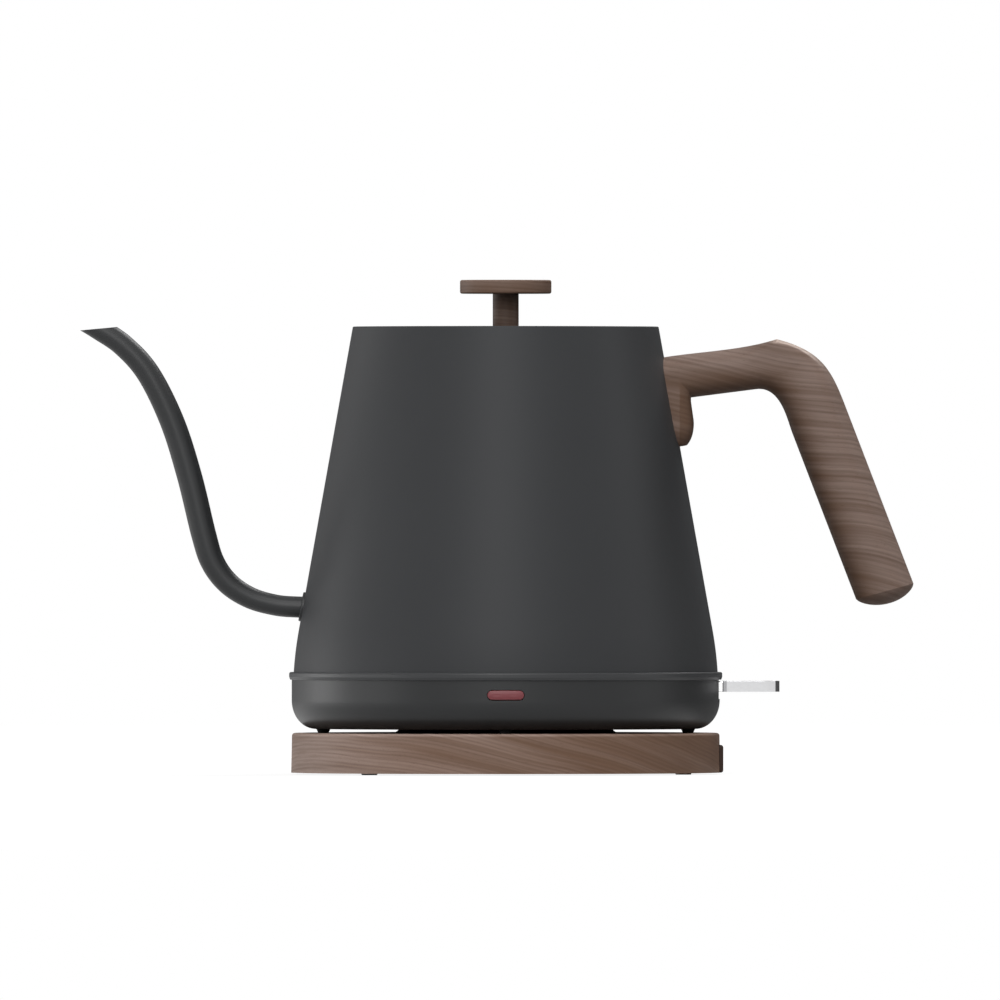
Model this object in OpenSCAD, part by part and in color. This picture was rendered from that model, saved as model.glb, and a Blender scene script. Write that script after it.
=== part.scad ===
// Electric gooseneck kettle on a round 360 degree power base.
// Millimetres, +Z up. The origin is the vessel's axis on the surface that the base stands on.
// +X points to the handle and the switch lever, -X to the spout.

/* [Base] */
// Height that the base's feet stand out below its shell
base_foot_h = 0.6; // [0.4:0.1:2]
// Height of the base shell
base_h = 13.9; // [12.5:0.1:20]
// How far the base's lower edge stands outside the housing
base_proud = 0.2; // [0:0.1:3]
// Taper of the base wall, as the difference of its two radii
base_taper = 0.3; // [0:0.1:2]
// Rounding of the base's top edge
base_edge = 1; // [0.5:0.1:2]
// Wall of the base shell
base_wall = 2.4; // [1.6:0.1:3]
// Thickness of the base's top
base_top = 2.6; // [2:0.1:3.5]
// Thickness of the plate that closes the base from below
plate_t = 1.2; // [1.1:0.1:1.4]
// Radius of the raised round in the middle of that plate
plate_pad_r = 30; // [20:1:36]
// Diameter of the base's feet
base_foot_d = 5.6; // [4:0.1:9]
// Distance of the base's feet inside its outer edge
base_foot_in = 11.1; // [9:0.1:14]
// Distance of the base's screws inside its outer edge
base_screw_in = 21.1; // [19:0.1:26]

/* [Cord outlet] */
// Width of the cord outlet block
gland_w = 14; // [12:0.5:18]
// Height of the cord outlet block
gland_h = 9.7; // [9:0.1:10.5]
// How far the block stands outside the base shell
gland_proud = 1.2; // [0.6:0.1:3]
// Diameter of the bore for the cord
cord_bore_d = 6.6; // [5:0.1:6.8]

/* [Connector] */
// Radius of the raised plateau under the kettle, at the base's top
plateau_r = 38.9; // [32:0.1:42]
// Draft of the plateau's edge
plateau_draft = 1.8; // [0.5:0.1:3]
// Radius of the connector's tower
tower_r = 14; // [12.6:0.1:16]
// Height of the tower above the plateau
tower_h = 12; // [9:0.5:13]
// Diameter of the centre pin
pin_d = 4; // [3:0.1:4.4]
// Mean radii of the two contact rings
ring_radii = [7.4, 11.2];
// Thickness of the contact rings
ring_t = 0.8; // [0.6:0.1:1]
// Gap between the two halves of the connector
plug_gap = 0.4; // [0.3:0.05:0.6]

/* [Kettle] */
// Height of the kettle's feet above the base
foot_h = 1.4; // [1:0.1:3]
// Diameter of the kettle's feet where they leave the housing
foot_d = 5; // [4:0.1:6]
// Diameter of the kettle's feet at their tip
foot_tip_d = 3.7; // [3:0.1:4]
// Distance of the kettle's feet inside the housing's outer face
foot_in = 11.1; // [10.9:0.1:14]
// Height of the lower housing
housing_h = 17.2; // [16.5:0.1:22]
// How far the housing stands outside the vessel's lower edge
housing_proud = 0.7; // [0.3:0.1:2]
// Wall of the housing
housing_wall = 2; // [1.5:0.1:2.4]
// Rounding of the housing's lower edge, across
housing_round_w = 8.4; // [5:0.1:8.6]
// Rounding of the housing's lower edge, upward
housing_round_h = 10; // [5:0.1:11]
// Height of the trim ring between housing and vessel
trim_h = 2.7; // [2:0.1:4]
// How far the trim ring stands outside the vessel's lower edge
trim_proud = 1.6; // [1:0.1:3]
// Radius of the vessel at its lower edge
vessel_foot_r = 74.2; // [72:0.1:80]
// Radius of the vessel at its rim
vessel_rim_r = 53.5; // [52:0.1:60]
// Height of the vessel
vessel_h = 120.9; // [110:0.1:130]
// Height of the flare at the vessel's lower edge
flare_h = 14.2; // [10:0.1:20]
// How far the flare draws in over its height
flare_in = 1.7; // [1:0.1:2.5]
// Sheet thickness of the vessel
sheet_t = 0.8; // [0.6:0.1:1]

/* [Lid] */
// Width of the flat rim around the lid
rim_w = 4.2; // [3:0.1:10]
// Width of the ledge that the lid lies on
ledge_w = 2.8; // [2:0.1:4]
// Depth of the lid's top below the rim
lid_recess = 0.4; // [0:0.1:1]
// Thickness of the lid plate
lid_t = 1.2; // [1:0.1:2]
// Depth of the insert under the lid plate
insert_h = 8.5; // [6:0.1:10]
// Diameter of the knob's stem
stem_d = 9.1; // [7:0.1:12]
// Height of the stem above the lid plate
stem_h = 11.9; // [8:0.1:20]
// Diameter of the knob's disc
knob_d = 32; // [24:0.1:40]
// Thickness of the knob's disc
knob_t = 4.8; // [3:0.1:8]
// Rounding of the knob's edges
knob_edge = 0.7; // [0.3:0.1:1.5]

/* [Spout] */
// How far the mouth stands out from the vessel's wall at the root
spout_reach = 70; // [60:0.5:80]
// Height of the mouth above the root
spout_rise = 97.5; // [85:0.1:105]
// Height of the spout's root on the vessel wall, above the standing surface
spout_root_z = 58.6; // [54:0.1:64]
// Outer diameter of the spout at its root
spout_root_d = 7.4; // [6.8:0.1:8.4]
// Outer diameter of the spout along its middle
spout_mid_d = 8.8; // [7.6:0.1:10]
// Outer diameter of the spout at its mouth
spout_tip_d = 7.7; // [6.6:0.1:9]
// Wall of the spout tube
spout_wall = 0.6; // [0.5:0.1:1]
// Outer diameter of the collar at the root
collar_d = 10.3; // [9.6:0.1:13]
// How far the collar stands off the wall
collar_t = 0.8; // [0.5:0.1:2.5]

/* [Handle] */
// Height of the handle's top where it meets the wall, above the standing surface
handle_z = 146; // [140:0.5:147]
// How far the grip's lower end stands out from the wall at the handle's top
handle_reach = 87.3; // [78:0.1:95]
// Drop of the grip's lower end below the handle's top
handle_drop = 84.7; // [76:0.1:92]
// Width of the arm, across the kettle
arm_w = 22; // [20:0.5:26]
// Width of the grip, across the kettle
grip_w = 26; // [22:0.5:30]
// Height of the dome that ends the grip
end_dome = 4.5; // [2:0.1:7]
// Thickness of the handle's pad on the wall
pad_t = 6.8; // [5.5:0.1:8]
// Height of the pad, from the handle's top
pad_h = 31; // [28:0.5:36]

/* [Switch] */
// Width of the switch lever
lever_w = 14; // [10:0.5:16]
// Thickness of the switch lever
lever_t = 3.8; // [3:0.1:4]
// How far the lever reaches past the housing
lever_reach = 20.9; // [12:0.1:26]
// Distance of the lever's pivot inside the housing's outer face
pivot_in = 8.9; // [8:0.1:11]
// Diameter of the lever's pin
lever_pin_d = 3; // [2:0.1:3.2]
// Travel of the lever, in degrees
lever_angle = 12; // [6:1:13]
// Length of the indicator window
window_l = 12.8; // [8:0.1:20]
// Height of the indicator window
window_h = 3.3; // [2.4:0.1:5]
// Height of the window's centre above the standing surface
window_z = 28; // [26.5:0.1:29]

/* [Fits] */
// Gap between parts that move past each other
move_gap = 0.3; // [0.2:0.05:0.4]
// Radial running clearance of the lever on its pin
pin_gap = 0.06; // [0.02:0.01:0.1]
// Gap between parts that are fixed to each other
seat_gap = 0.1; // [0.05:0.05:0.2]

/* [Hidden] */
$fn = 96;
eps = 0.01;
through = 400;

charcoal = "#4a4b4d";
black = "#1b1b1c";
walnut = "#76604f";
steel = "#b9babc";
chrome = "#d8d9da";
brass = "#b48a45";
silicone = "#c9c5bd";
window_red = "#8b4a50";

// Heights, from the standing surface upward
base_z = base_foot_h;
base_top_z = base_z + base_h;
plate_z = base_z + 0.3;
plate_top_z = plate_z + plate_t;
housing_z = base_top_z + foot_h;
trim_z = housing_z + housing_h;
vessel_z = trim_z + trim_h;
flare_z = vessel_z + flare_h;
rim_z = vessel_z + vessel_h;
lid_z = rim_z - lid_recess - lid_t;
lid_top_z = lid_z + lid_t;
knob_z = lid_top_z + stem_h;

// Radii that follow the vessel's lower edge
housing_r = vessel_foot_r + housing_proud;
trim_r = vessel_foot_r + trim_proud;
base_r = housing_r + base_proud;
base_top_r = base_r - base_taper;
base_in_r = base_top_r - base_wall;
base_foot_ring = base_r - base_foot_in;
base_screw_ring = base_r - base_screw_in;
housing_in_r = housing_r - housing_wall;
foot_ring = housing_r - foot_in;
pivot_x = housing_r - pivot_in;
guide_x = pivot_x - 7.5;
seat_r = vessel_rim_r - rim_w;
mouth_r = seat_r - ledge_w;

// The vessel's wall: a straight cone above, an arc of a circle over the flare
flare_r = vessel_foot_r - flare_in;
lean = atan((flare_r - vessel_rim_r) / (rim_z - flare_z));
flare_half = lean - atan(flare_in / flare_h);
flare_arc_r = norm([flare_in, flare_h]) / (2 * sin(flare_half));
function flare_angle(z) = asin(sin(lean) - (flare_z - z) / flare_arc_r);
function wall_r(z) =
    z >= flare_z ? vessel_rim_r + (rim_z - z) * tan(lean)
    : flare_r + flare_arc_r * (cos(flare_angle(z)) - cos(lean));

// ---------------------------------------------------------------- helpers

function arc(c, r, a0, a1, n) = [for (i = [0:n]) let (a = a0 + (a1 - a0) * i / n)
    [c.x + r.x * cos(a), c.y + r.y * sin(a)]];

function bezier(p, t) = let (s = 1 - t)
    s * s * s * p[0] + 3 * s * s * t * p[1] + 3 * s * t * t * p[2] + t * t * t * p[3];

module ring(r_out, r_in, z0, h) {
    translate([0, 0, z0]) difference() {
        cylinder(r = r_out, h = h);
        translate([0, 0, -1]) cylinder(r = r_in, h = h + 2);
    }
}

module around(count, radius, start = 0) {
    for (i = [0:count - 1])
        rotate(start + 360 * i / count) translate([radius, 0, 0]) children();
}

module block(lo, hi) {
    translate(lo) cube(hi - lo);
}

// The space outside or inside the vessel's wall, for what is fitted to it
module wall_solid(inset = 0) {
    rotate_extrude($fn = 360) polygon(concat(
        [[0, vessel_z - 1], [wall_r(vessel_z) - inset, vessel_z - 1]],
        [for (i = [0:6]) let (z = vessel_z + flare_h * i / 6) [wall_r(z) - inset, z]],
        [[wall_r(rim_z) - inset, rim_z], [0, rim_z]]));
}

// Faces between rings of points, with a lid on each end, or with the last ring joined to the first
function skin_faces(rings, sides, looped = false) = concat(
    [for (i = [0:rings - (looped ? 1 : 2)], j = [0:sides - 1]) let (k = (j + 1) % sides, n = (i + 1) % rings)
        each [[i * sides + j, i * sides + k, n * sides + j], [i * sides + k, n * sides + k, n * sides + j]]],
    looped ? [] : [[for (j = [sides - 1:-1:0]) j], [for (j = [0:sides - 1]) (rings - 1) * sides + j]]);

// ---------------------------------------------------------------- base

base_foot_at = [for (a = [14, 138, 222, 346]) base_foot_ring * [cos(a), sin(a)]];
base_foot_stem_d = 3;
plate_pad_h = 0.4;
base_screw_d = 2.4;
base_screw_start = 60;
base_screw_top_z = base_top_z - base_top - 2.5;
screw_head_d = 5.2;
post_d = 7;
neck_r = plateau_r - 4.9;
gland_z0 = base_z;
gland_z1 = base_z + gland_h;
cord_z = base_z + gland_h / 2;
gland_x1 = base_r + gland_proud - base_taper / 2;
gland_flange_t = 2.5;
gland_flange_over = 1.5;
gland_flange_x = base_in_r - 0.5 - gland_flange_t;
gland_sleeve_l = 8;
gland_sleeve_d = cord_bore_d + 2.6;

module base_shell_profile() {
    polygon(concat(
        [[neck_r + seat_gap, base_top_z]],
        [for (p = arc([base_top_r - base_edge, base_top_z - base_edge], [base_edge, base_edge], 90, 0, 6)) p],
        [[base_r, base_z], [base_in_r + base_taper, base_z], [base_in_r, base_top_z - base_top],
         [neck_r + seat_gap, base_top_z - base_top]]));
}

module base_cover() {
    color(walnut) difference() {
        union() {
            rotate_extrude() base_shell_profile();
            around(3, base_screw_ring, base_screw_start)
                translate([0, 0, plate_top_z])
                    cylinder(d = post_d, h = base_top_z - base_top / 2 - plate_top_z);
        }
        around(3, base_screw_ring, base_screw_start)
            translate([0, 0, plate_z])
                cylinder(d = base_screw_d + seat_gap, h = base_screw_top_z + 0.5 - plate_z);
        block([base_in_r - 3, -gland_w / 2 - seat_gap, base_z - 1],
              [base_r + 5, gland_w / 2 + seat_gap, gland_z1 + seat_gap]);
    }
}

module base_bottom_plate() {
    color(black) difference() {
        union() {
            translate([0, 0, plate_z]) cylinder(r = base_in_r - seat_gap, h = plate_t);
            translate([0, 0, plate_z - plate_pad_h]) cylinder(r = plate_pad_r, h = plate_t);
        }
        around(3, base_screw_ring, base_screw_start) translate([0, 0, plate_z - eps])
            cylinder(d1 = screw_head_d + 2 * seat_gap, d2 = base_screw_d + 2 * seat_gap,
                     h = plate_t + 2 * eps);
        for (p = base_foot_at) translate([p.x, p.y, plate_z - 1])
            cylinder(d = base_foot_stem_d + 2 * seat_gap, h = plate_t + 2);
        block([gland_flange_x - seat_gap, -gland_w / 2 - gland_flange_over - seat_gap, 0],
              [base_r, gland_w / 2 + gland_flange_over + seat_gap, base_h]);
        block([gland_flange_x - gland_sleeve_l - seat_gap, -gland_sleeve_d / 2 - seat_gap, 0],
              [base_r, gland_sleeve_d / 2 + seat_gap, base_h]);
    }
}

// Each foot is a plug: a pad below the plate, a stem through it and a barb above it
module base_feet() {
    color(black) for (p = base_foot_at) translate([p.x, p.y, 0]) rotate_extrude($fn = 48) polygon([
        [0, 0], [base_foot_d / 2 - 0.2, 0], [base_foot_d / 2, 0.2], [base_foot_d / 2, plate_z],
        [base_foot_stem_d / 2, plate_z], [base_foot_stem_d / 2, plate_top_z],
        [base_foot_stem_d / 2 + 0.8, plate_top_z], [base_foot_stem_d / 2 - 0.4, plate_top_z + 1.4],
        [0, plate_top_z + 1.4]]);
}

module base_screws() {
    color(steel) around(3, base_screw_ring, base_screw_start) rotate_extrude($fn = 48) polygon([
        [0, plate_z + 0.1], [screw_head_d / 2, plate_z + 0.1], [base_screw_d / 2, plate_top_z],
        [base_screw_d / 2, base_screw_top_z - 0.8], [0, base_screw_top_z]]);
}

plateau_z = base_top_z;
tower_z = housing_z;
tower_top_z = tower_z + tower_h;
groove_z = tower_top_z - 9;
groove_w = ring_t + 2 * plug_gap;
pin_contact_t = 0.5;
pin_hole_r = pin_d / 2 + plug_gap + pin_contact_t;
connector_floor_z = base_top_z - base_top - 3;

module base_connector() {
    color(black) difference() {
        union() {
            rotate_extrude() polygon([
                [0, connector_floor_z], [neck_r, connector_floor_z], [neck_r, plateau_z],
                [plateau_r, plateau_z], [plateau_r - plateau_draft, tower_z], [tower_r + 1, tower_z],
                [tower_r, tower_z + 1], [tower_r, tower_top_z - 1], [tower_r - 1, tower_top_z],
                [0, tower_top_z]]);
            // Snap hooks that hold the connector in the shell's top
            around(3, neck_r, 30) translate([-1, -5, connector_floor_z])
                block([0, 0, 0], [2.2, 10, 3 - seat_gap]);
        }
        translate([0, 0, groove_z - 2]) cylinder(r = pin_hole_r, h = tower_h + 3);
        for (r = ring_radii) ring(r + groove_w / 2, r - groove_w / 2, groove_z, tower_h);
        // The hollow underside, where the wires are pushed on
        ring(neck_r - 2, tower_r + 3, connector_floor_z - 1, 5);
    }
}

module base_pin_contact() {
    color(brass) ring(pin_hole_r, pin_hole_r - pin_contact_t, groove_z - 2, 8);
}

module base_ring_contacts() {
    color(brass) for (r = ring_radii) ring(r + groove_w / 2, r - groove_w / 2, groove_z, 0.8);
}

terminal_l = 5;

module base_terminals() {
    color(brass) for (a = [150, 180, 210]) rotate(a) translate([9, 0, connector_floor_z - terminal_l])
        difference() {
            translate([-0.4, -3.15, 0]) cube([0.8, 6.3, terminal_l]);
            translate([-1, 0, 2]) rotate([0, 90, 0]) cylinder(d = 1.6, h = 2, $fn = 24);
        }
}

module cord_gland() {
    color("#33261f") difference() {
        union() {
            block([base_in_r - 0.5, -gland_w / 2, gland_z0], [gland_x1, gland_w / 2, gland_z1]);
            block([gland_flange_x, -gland_w / 2 - gland_flange_over, plate_z],
                  [base_in_r - 0.5, gland_w / 2 + gland_flange_over, gland_z1 + 0.8]);
            translate([gland_flange_x - gland_sleeve_l, 0, cord_z]) rotate([0, 90, 0])
                cylinder(d = gland_sleeve_d, h = gland_sleeve_l + 1);
        }
        translate([gland_flange_x - gland_sleeve_l - 1, 0, cord_z]) rotate([0, 90, 0])
            cylinder(d = cord_bore_d, h = through);
    }
}

clamp_x = gland_flange_x - gland_sleeve_l - 5;
clamp_pitch = 15;
clamp_screw_d = 2.6;

// A saddle that pinches the cord against the underside of the base's top
module cord_clamp() {
    color(black) difference() {
        block([clamp_x - 3, -clamp_pitch / 2 - 3.5, cord_z],
              [clamp_x + 3, clamp_pitch / 2 + 3.5, base_top_z - base_top]);
        translate([clamp_x - 4, 0, cord_z]) rotate([0, 90, 0]) cylinder(d = cord_bore_d, h = 8);
        for (s = [-1, 1]) translate([clamp_x, s * clamp_pitch / 2, 0])
            cylinder(d = clamp_screw_d + 2 * seat_gap, h = base_h - 1.4);
    }
}

module cord_clamp_screws() {
    color(steel) for (s = [-1, 1]) translate([clamp_x, s * clamp_pitch / 2, 0])
        rotate_extrude($fn = 48) polygon([
            [0, cord_z - 1.6], [2.4, cord_z - 1.6], [2.4, cord_z], [clamp_screw_d / 2, cord_z],
            [clamp_screw_d / 2, base_top_z - base_top - 0.6], [0, base_top_z - base_top - 0.2]]);
}

// ---------------------------------------------------------------- kettle side of the connector

coupler_r = tower_r + plug_gap + 5.2;
coupler_z = housing_z + 1.4;
coupler_ceiling_z = tower_top_z + 0.8;
coupler_top_z = coupler_ceiling_z + 3.5;
coupler_flange_t = 2;
coupler_flange_w = 2.2;

module coupler_body() {
    color(black) rotate_extrude() polygon([
        [0, coupler_ceiling_z], [tower_r + plug_gap, coupler_ceiling_z], [tower_r + plug_gap, coupler_z + 1],
        [tower_r + plug_gap + 1, coupler_z], [coupler_r, coupler_z],
        [coupler_r, coupler_top_z - coupler_flange_t],
        [coupler_r + coupler_flange_w, coupler_top_z - coupler_flange_t],
        [coupler_r + coupler_flange_w, coupler_top_z], [0, coupler_top_z]]);
}

module coupler_pin() {
    color(brass) rotate_extrude($fn = 48) polygon([
        [0, groove_z + 0.8], [pin_d / 2 - 0.8, groove_z + 0.8], [pin_d / 2, groove_z + 1.8],
        [pin_d / 2, coupler_ceiling_z], [0, coupler_ceiling_z]]);
}

module coupler_rings() {
    color(brass) for (r = ring_radii)
        ring(r + ring_t / 2, r - ring_t / 2, groove_z + 1.8, coupler_ceiling_z - groove_z - 1.8);
}

// ---------------------------------------------------------------- vessel

collar_h = 5.6;

// One sheet: wall, rolled rim, lid seat and the collar that the gasket seals in
module vessel() {
    color(charcoal) difference() {
        rotate_extrude() polygon(concat(
            [for (i = [0:8]) let (z = vessel_z + flare_h * i / 8) [wall_r(z), z]],
            [[vessel_rim_r + 0.3 * tan(lean), rim_z - 0.3], [vessel_rim_r - 0.3, rim_z], [seat_r, rim_z],
             [seat_r, lid_z], [mouth_r, lid_z], [mouth_r, lid_z - collar_h],
             [mouth_r + sheet_t, lid_z - collar_h], [mouth_r + sheet_t, lid_z - sheet_t],
             [seat_r + sheet_t, lid_z - sheet_t], [seat_r + sheet_t, rim_z - sheet_t],
             [wall_r(rim_z - sheet_t) - sheet_t, rim_z - sheet_t]],
            [for (i = [8:-1:0]) let (z = vessel_z + flare_h * i / 8) [wall_r(z) - sheet_t, z]]));
        translate([-vessel_foot_r, 0, spout_root_z]) rotate([0, 90, 0])
            cylinder(d = spout_root_d + 2 * seat_gap, h = vessel_foot_r);
    }
}

floor_z = vessel_z + 3.2;
floor_t = 1;
floor_r = wall_r(floor_z) - sheet_t - 0.2;
tube_d = 8;
tube_bore = 6.4;
tube_x = guide_x - 9.5;
grommet_d = tube_d + 3.2;

// The floor is a pressed dish: its rim turns down inside the wall, where it is welded
module vessel_floor() {
    color(steel) difference() {
        rotate_extrude() polygon([
            [0, floor_z], [floor_r - floor_t, floor_z], [floor_r - floor_t, vessel_z + 0.4],
            [floor_r, vessel_z + 0.4], [floor_r, floor_z + floor_t - 0.6], [floor_r - 0.6, floor_z + floor_t],
            [0, floor_z + floor_t]]);
        translate([tube_x, 0, floor_z - 1]) cylinder(d = tube_d + 1.6, h = floor_t + 2);
    }
}

spreader_t = 1.5;
spreader_z = floor_z - spreader_t;
element_d = 6.6;
element_z = spreader_z - element_d / 2;
element_gap = 30;
spreader_r = tube_x - grommet_d / 2 - 0.4;
element_ring = spreader_r - element_d / 2 - 1.7;
element_end = element_gap + 8;

module heat_spreader() {
    color("#a9abad") translate([0, 0, spreader_z]) cylinder(r = spreader_r, h = spreader_t);
}

// A tubular element bent to an open ring, brazed under the spreader
module heating_element() {
    color("#8f9193") translate([0, 0, element_z]) rotate([0, 0, element_gap])
        rotate_extrude(angle = 360 - 2 * element_gap) translate([element_ring, 0])
            circle(d = element_d, $fn = 48);
}

module element_terminals() {
    color(brass) for (s = [-1, 1]) rotate([0, 0, s * element_gap]) translate([element_ring, 0, element_z])
        rotate([s * 90, 0, 0]) {
            cylinder(d = 3, h = 4, $fn = 32);
            translate([-3.15, -0.4, 4]) cube([6.3, 0.8, 6]);
        }
}

// ---------------------------------------------------------------- lower housing

housing_floor_t = 2.2;
housing_floor_z = housing_z + housing_floor_t;
well_r = plateau_r + 1.6;
well_h = 1;
control_r = coupler_r + coupler_flange_w + move_gap + 4;
stud_ring = foot_ring - 11.8;
stud_start = 60;
stud_d = 6;
housing_screw_d = 3;
housing_screw_l = 12;
housing_screw_seat_z = housing_z + 4;
boss_h = 10;
slot_top_z = trim_z;
pivot_z = trim_z - 0.4 - lever_t / 2;
slot_z = pivot_z - pivot_in * tan(lever_angle) - lever_t / 2 / cos(lever_angle) - 2 * move_gap;
lens_y = -sqrt(housing_r * housing_r - window_l * window_l / 4);

module pill(length, height, depth) {
    rotate([90, 0, 0]) linear_extrude(depth) union() {
        square([length - height, height], center = true);
        for (s = [-1, 1]) translate([s * (length - height) / 2, 0]) circle(d = height);
    }
}

module lower_housing() {
    corner_in = [housing_round_w - housing_wall, housing_round_h - housing_floor_t];
    corner = [housing_r - housing_round_w, housing_z + housing_round_h];
    color(charcoal) difference() {
        union() {
            rotate_extrude() polygon(concat(
                [[control_r + seat_gap, housing_z + well_h], [well_r, housing_z + well_h],
                 [well_r + 0.4, housing_z]],
                arc(corner, [housing_round_w, housing_round_h], -90, 0, 12),
                [[housing_r, trim_z], [housing_in_r, trim_z]],
                arc(corner, corner_in, 0, -90, 8),
                [[well_r + 2.5, housing_floor_z], [well_r + 2, housing_floor_z + well_h],
                 [control_r + seat_gap, housing_floor_z + well_h]]));
            // Bosses that the housing's screws pull against the studs
            around(3, stud_ring, stud_start) translate([0, 0, housing_z + 1])
                cylinder(d = stud_d + 3, h = boss_h - 1);
        }
        around(3, stud_ring, stud_start) {
            translate([0, 0, housing_z - 1]) cylinder(d = housing_screw_d + 2 * seat_gap, h = 20);
            translate([0, 0, housing_z - 1]) cylinder(d = 6.4, h = housing_screw_seat_z - housing_z + 1);
        }
        around(4, foot_ring) translate([0, 0, housing_z - 1]) cylinder(d = foot_stem_d + 2 * seat_gap, h = 6);
        block([housing_in_r - 4, -lever_w / 2 - 0.4, slot_z], [housing_r + 2, lever_w / 2 + 0.4, trim_z + 1]);
        translate([0, -housing_in_r + 3, window_z])
            pill(window_l + 2 * seat_gap, window_h + 2 * seat_gap, 8);
    }
}

foot_stem_d = 3;

module kettle_feet() {
    color(black) around(4, foot_ring) rotate_extrude($fn = 48) polygon([
        [0, base_top_z], [foot_tip_d / 2, base_top_z], [foot_d / 2, housing_z], [foot_stem_d / 2, housing_z],
        [foot_stem_d / 2, housing_floor_z], [foot_stem_d / 2 + 0.6, housing_floor_z],
        [foot_stem_d / 2 - 0.4, housing_floor_z + 1.2], [0, housing_floor_z + 1.2]]);
}

module housing_studs() {
    color(steel) around(3, stud_ring, stud_start) difference() {
        translate([0, 0, housing_z + boss_h]) cylinder(d = stud_d, h = floor_z - housing_z - boss_h);
        translate([0, 0, housing_screw_seat_z])
            cylinder(d = housing_screw_d + seat_gap, h = housing_screw_l + 1);
    }
}

module housing_screws() {
    color(steel) around(3, stud_ring, stud_start) rotate_extrude($fn = 48) polygon([
        [0, housing_screw_seat_z - 2], [2.8, housing_screw_seat_z - 2], [2.8, housing_screw_seat_z],
        [housing_screw_d / 2, housing_screw_seat_z],
        [housing_screw_d / 2, housing_screw_seat_z + housing_screw_l - 1],
        [0, housing_screw_seat_z + housing_screw_l]]);
}

// Rounded outside edge; a lip inside centres the housing
module trim_ring() {
    lobe = trim_h / 2;
    color(charcoal) rotate_extrude() union() {
        translate([housing_in_r - 1.5, trim_z]) square([trim_r - lobe - housing_in_r + 1.5, trim_h]);
        translate([trim_r - lobe, trim_z + lobe]) circle(r = lobe, $fn = 48);
    }
}

// ---------------------------------------------------------------- control

control_z = housing_z + well_h + 0.2;
control_screw_ring = control_r - 2.4;
control_screw_d = 2.5;
control_screw_l = 5;

// The thermostat's body; it turns on the coupler and hangs under the spreader
module control_body() {
    color(black) difference() {
        translate([0, 0, control_z]) cylinder(r = control_r, h = spreader_z - 1 - control_z);
        translate([0, 0, control_z - 1]) cylinder(r = coupler_r + move_gap, h = coupler_top_z - control_z);
        translate([0, 0, coupler_top_z - coupler_flange_t - move_gap])
            cylinder(r = coupler_r + coupler_flange_w + move_gap, h = coupler_flange_t + 2 * move_gap);
        around(3, control_screw_ring, stud_start) translate([0, 0, spreader_z - control_screw_l - 1])
            cylinder(d = control_screw_d + seat_gap, h = control_screw_l + 1);
    }
}

module control_screws() {
    color(steel) around(3, control_screw_ring, stud_start) translate([0, 0, spreader_z - control_screw_l])
        cylinder(d = control_screw_d, h = control_screw_l, $fn = 32);
}

// Two snap discs between the control and the spreader, which trip if the kettle boils dry
module dry_boil_discs() {
    color(brass) for (s = [-1, 1]) translate([0, s * 11, spreader_z - 1]) rotate_extrude($fn = 48)
        polygon([[0, 0.3], [4, 0], [8, 0], [8, 0.4], [4, 0.4], [0, 0.7]]);
}

holder_x0 = tube_x - 4.5;
holder_x1 = pivot_x + 3.5;
ear_t = 3;
ear_y = lever_w / 2 - 2 + move_gap;
hub_w = lever_w - 4;
pushrod_d = 2.4;
pushrod_gap = 0.45;
guide_z = pivot_z + 4.4;
guide_t = 1.6;
pushrod_z = pivot_z + 1.6 + pushrod_gap;
pushrod_h = 4.2;

// Stands on the housing's floor and carries the lever, the pushrod's guide and the steam bimetal
module switch_holder() {
    color(black) difference() {
        union() {
            block([holder_x0, -ear_y - ear_t, housing_floor_z + well_h],
                  [pivot_x - 6, ear_y + ear_t, housing_floor_z + 4]);
            for (s = [-1, 1]) translate([0, s * (ear_y + ear_t / 2), 0])
                block([guide_x - 2.5, -ear_t / 2, housing_floor_z + well_h],
                      [holder_x1 - 3.5, ear_t / 2, guide_z + guide_t]);
            for (s = [-1, 1]) translate([pivot_x, s * (ear_y + ear_t / 2) - ear_t / 2, pivot_z])
                rotate([-90, 0, 0]) cylinder(r = 3.5, h = ear_t, $fn = 48);
            block([guide_x - 2.5, -ear_y - 1, guide_z], [guide_x + 2.5, ear_y + 1, guide_z + guide_t]);
        }
        translate([pivot_x, -lever_w, pivot_z]) rotate([-90, 0, 0])
            cylinder(d = lever_pin_d + 0.04, h = 2 * lever_w);
        translate([guide_x, 0, guide_z - 1]) cylinder(d = pushrod_d + 2 * pin_gap, h = 5);
    }
}

module lever_pin() {
    color(steel) translate([pivot_x, -ear_y - ear_t, pivot_z]) rotate([-90, 0, 0])
        cylinder(d = lever_pin_d, h = 2 * (ear_y + ear_t), $fn = 48);
}

module steam_bimetal() {
    color(brass) translate([tube_x, 0, housing_floor_z + 4]) rotate_extrude($fn = 48)
        polygon([[0, 0.6], [3, 0], [4, 0], [4, 0.4], [3, 0.4], [0, 1]]);
}

module switch_contacts() {
    color(brass) for (s = [-1, 1])
        block([guide_x - 1.5, s * 4 - 1, guide_z + guide_t],
              [guide_x + 1.5, s * 4 + 1, guide_z + guide_t + 0.6]);
}

module indicator_lens() {
    color(window_red) intersection() {
        translate([0, -housing_in_r + 2, window_z]) pill(window_l, window_h, 8);
        difference() {
            cylinder(r = housing_r, h = through);
            translate([0, 0, -1]) cylinder(r = housing_in_r - 0.6, h = through);
        }
    }
}

lamp_d = 4.4;
lamp_l = 11;
lamp_y = -housing_in_r + 0.6 + lamp_d / 2 + 0.8;

module indicator_lamp() {
    color("#d98b5c") translate([-lamp_l / 2, lamp_y, window_z]) rotate([0, 90, 0])
        cylinder(d = lamp_d, h = lamp_l, $fn = 48);
}

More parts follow.
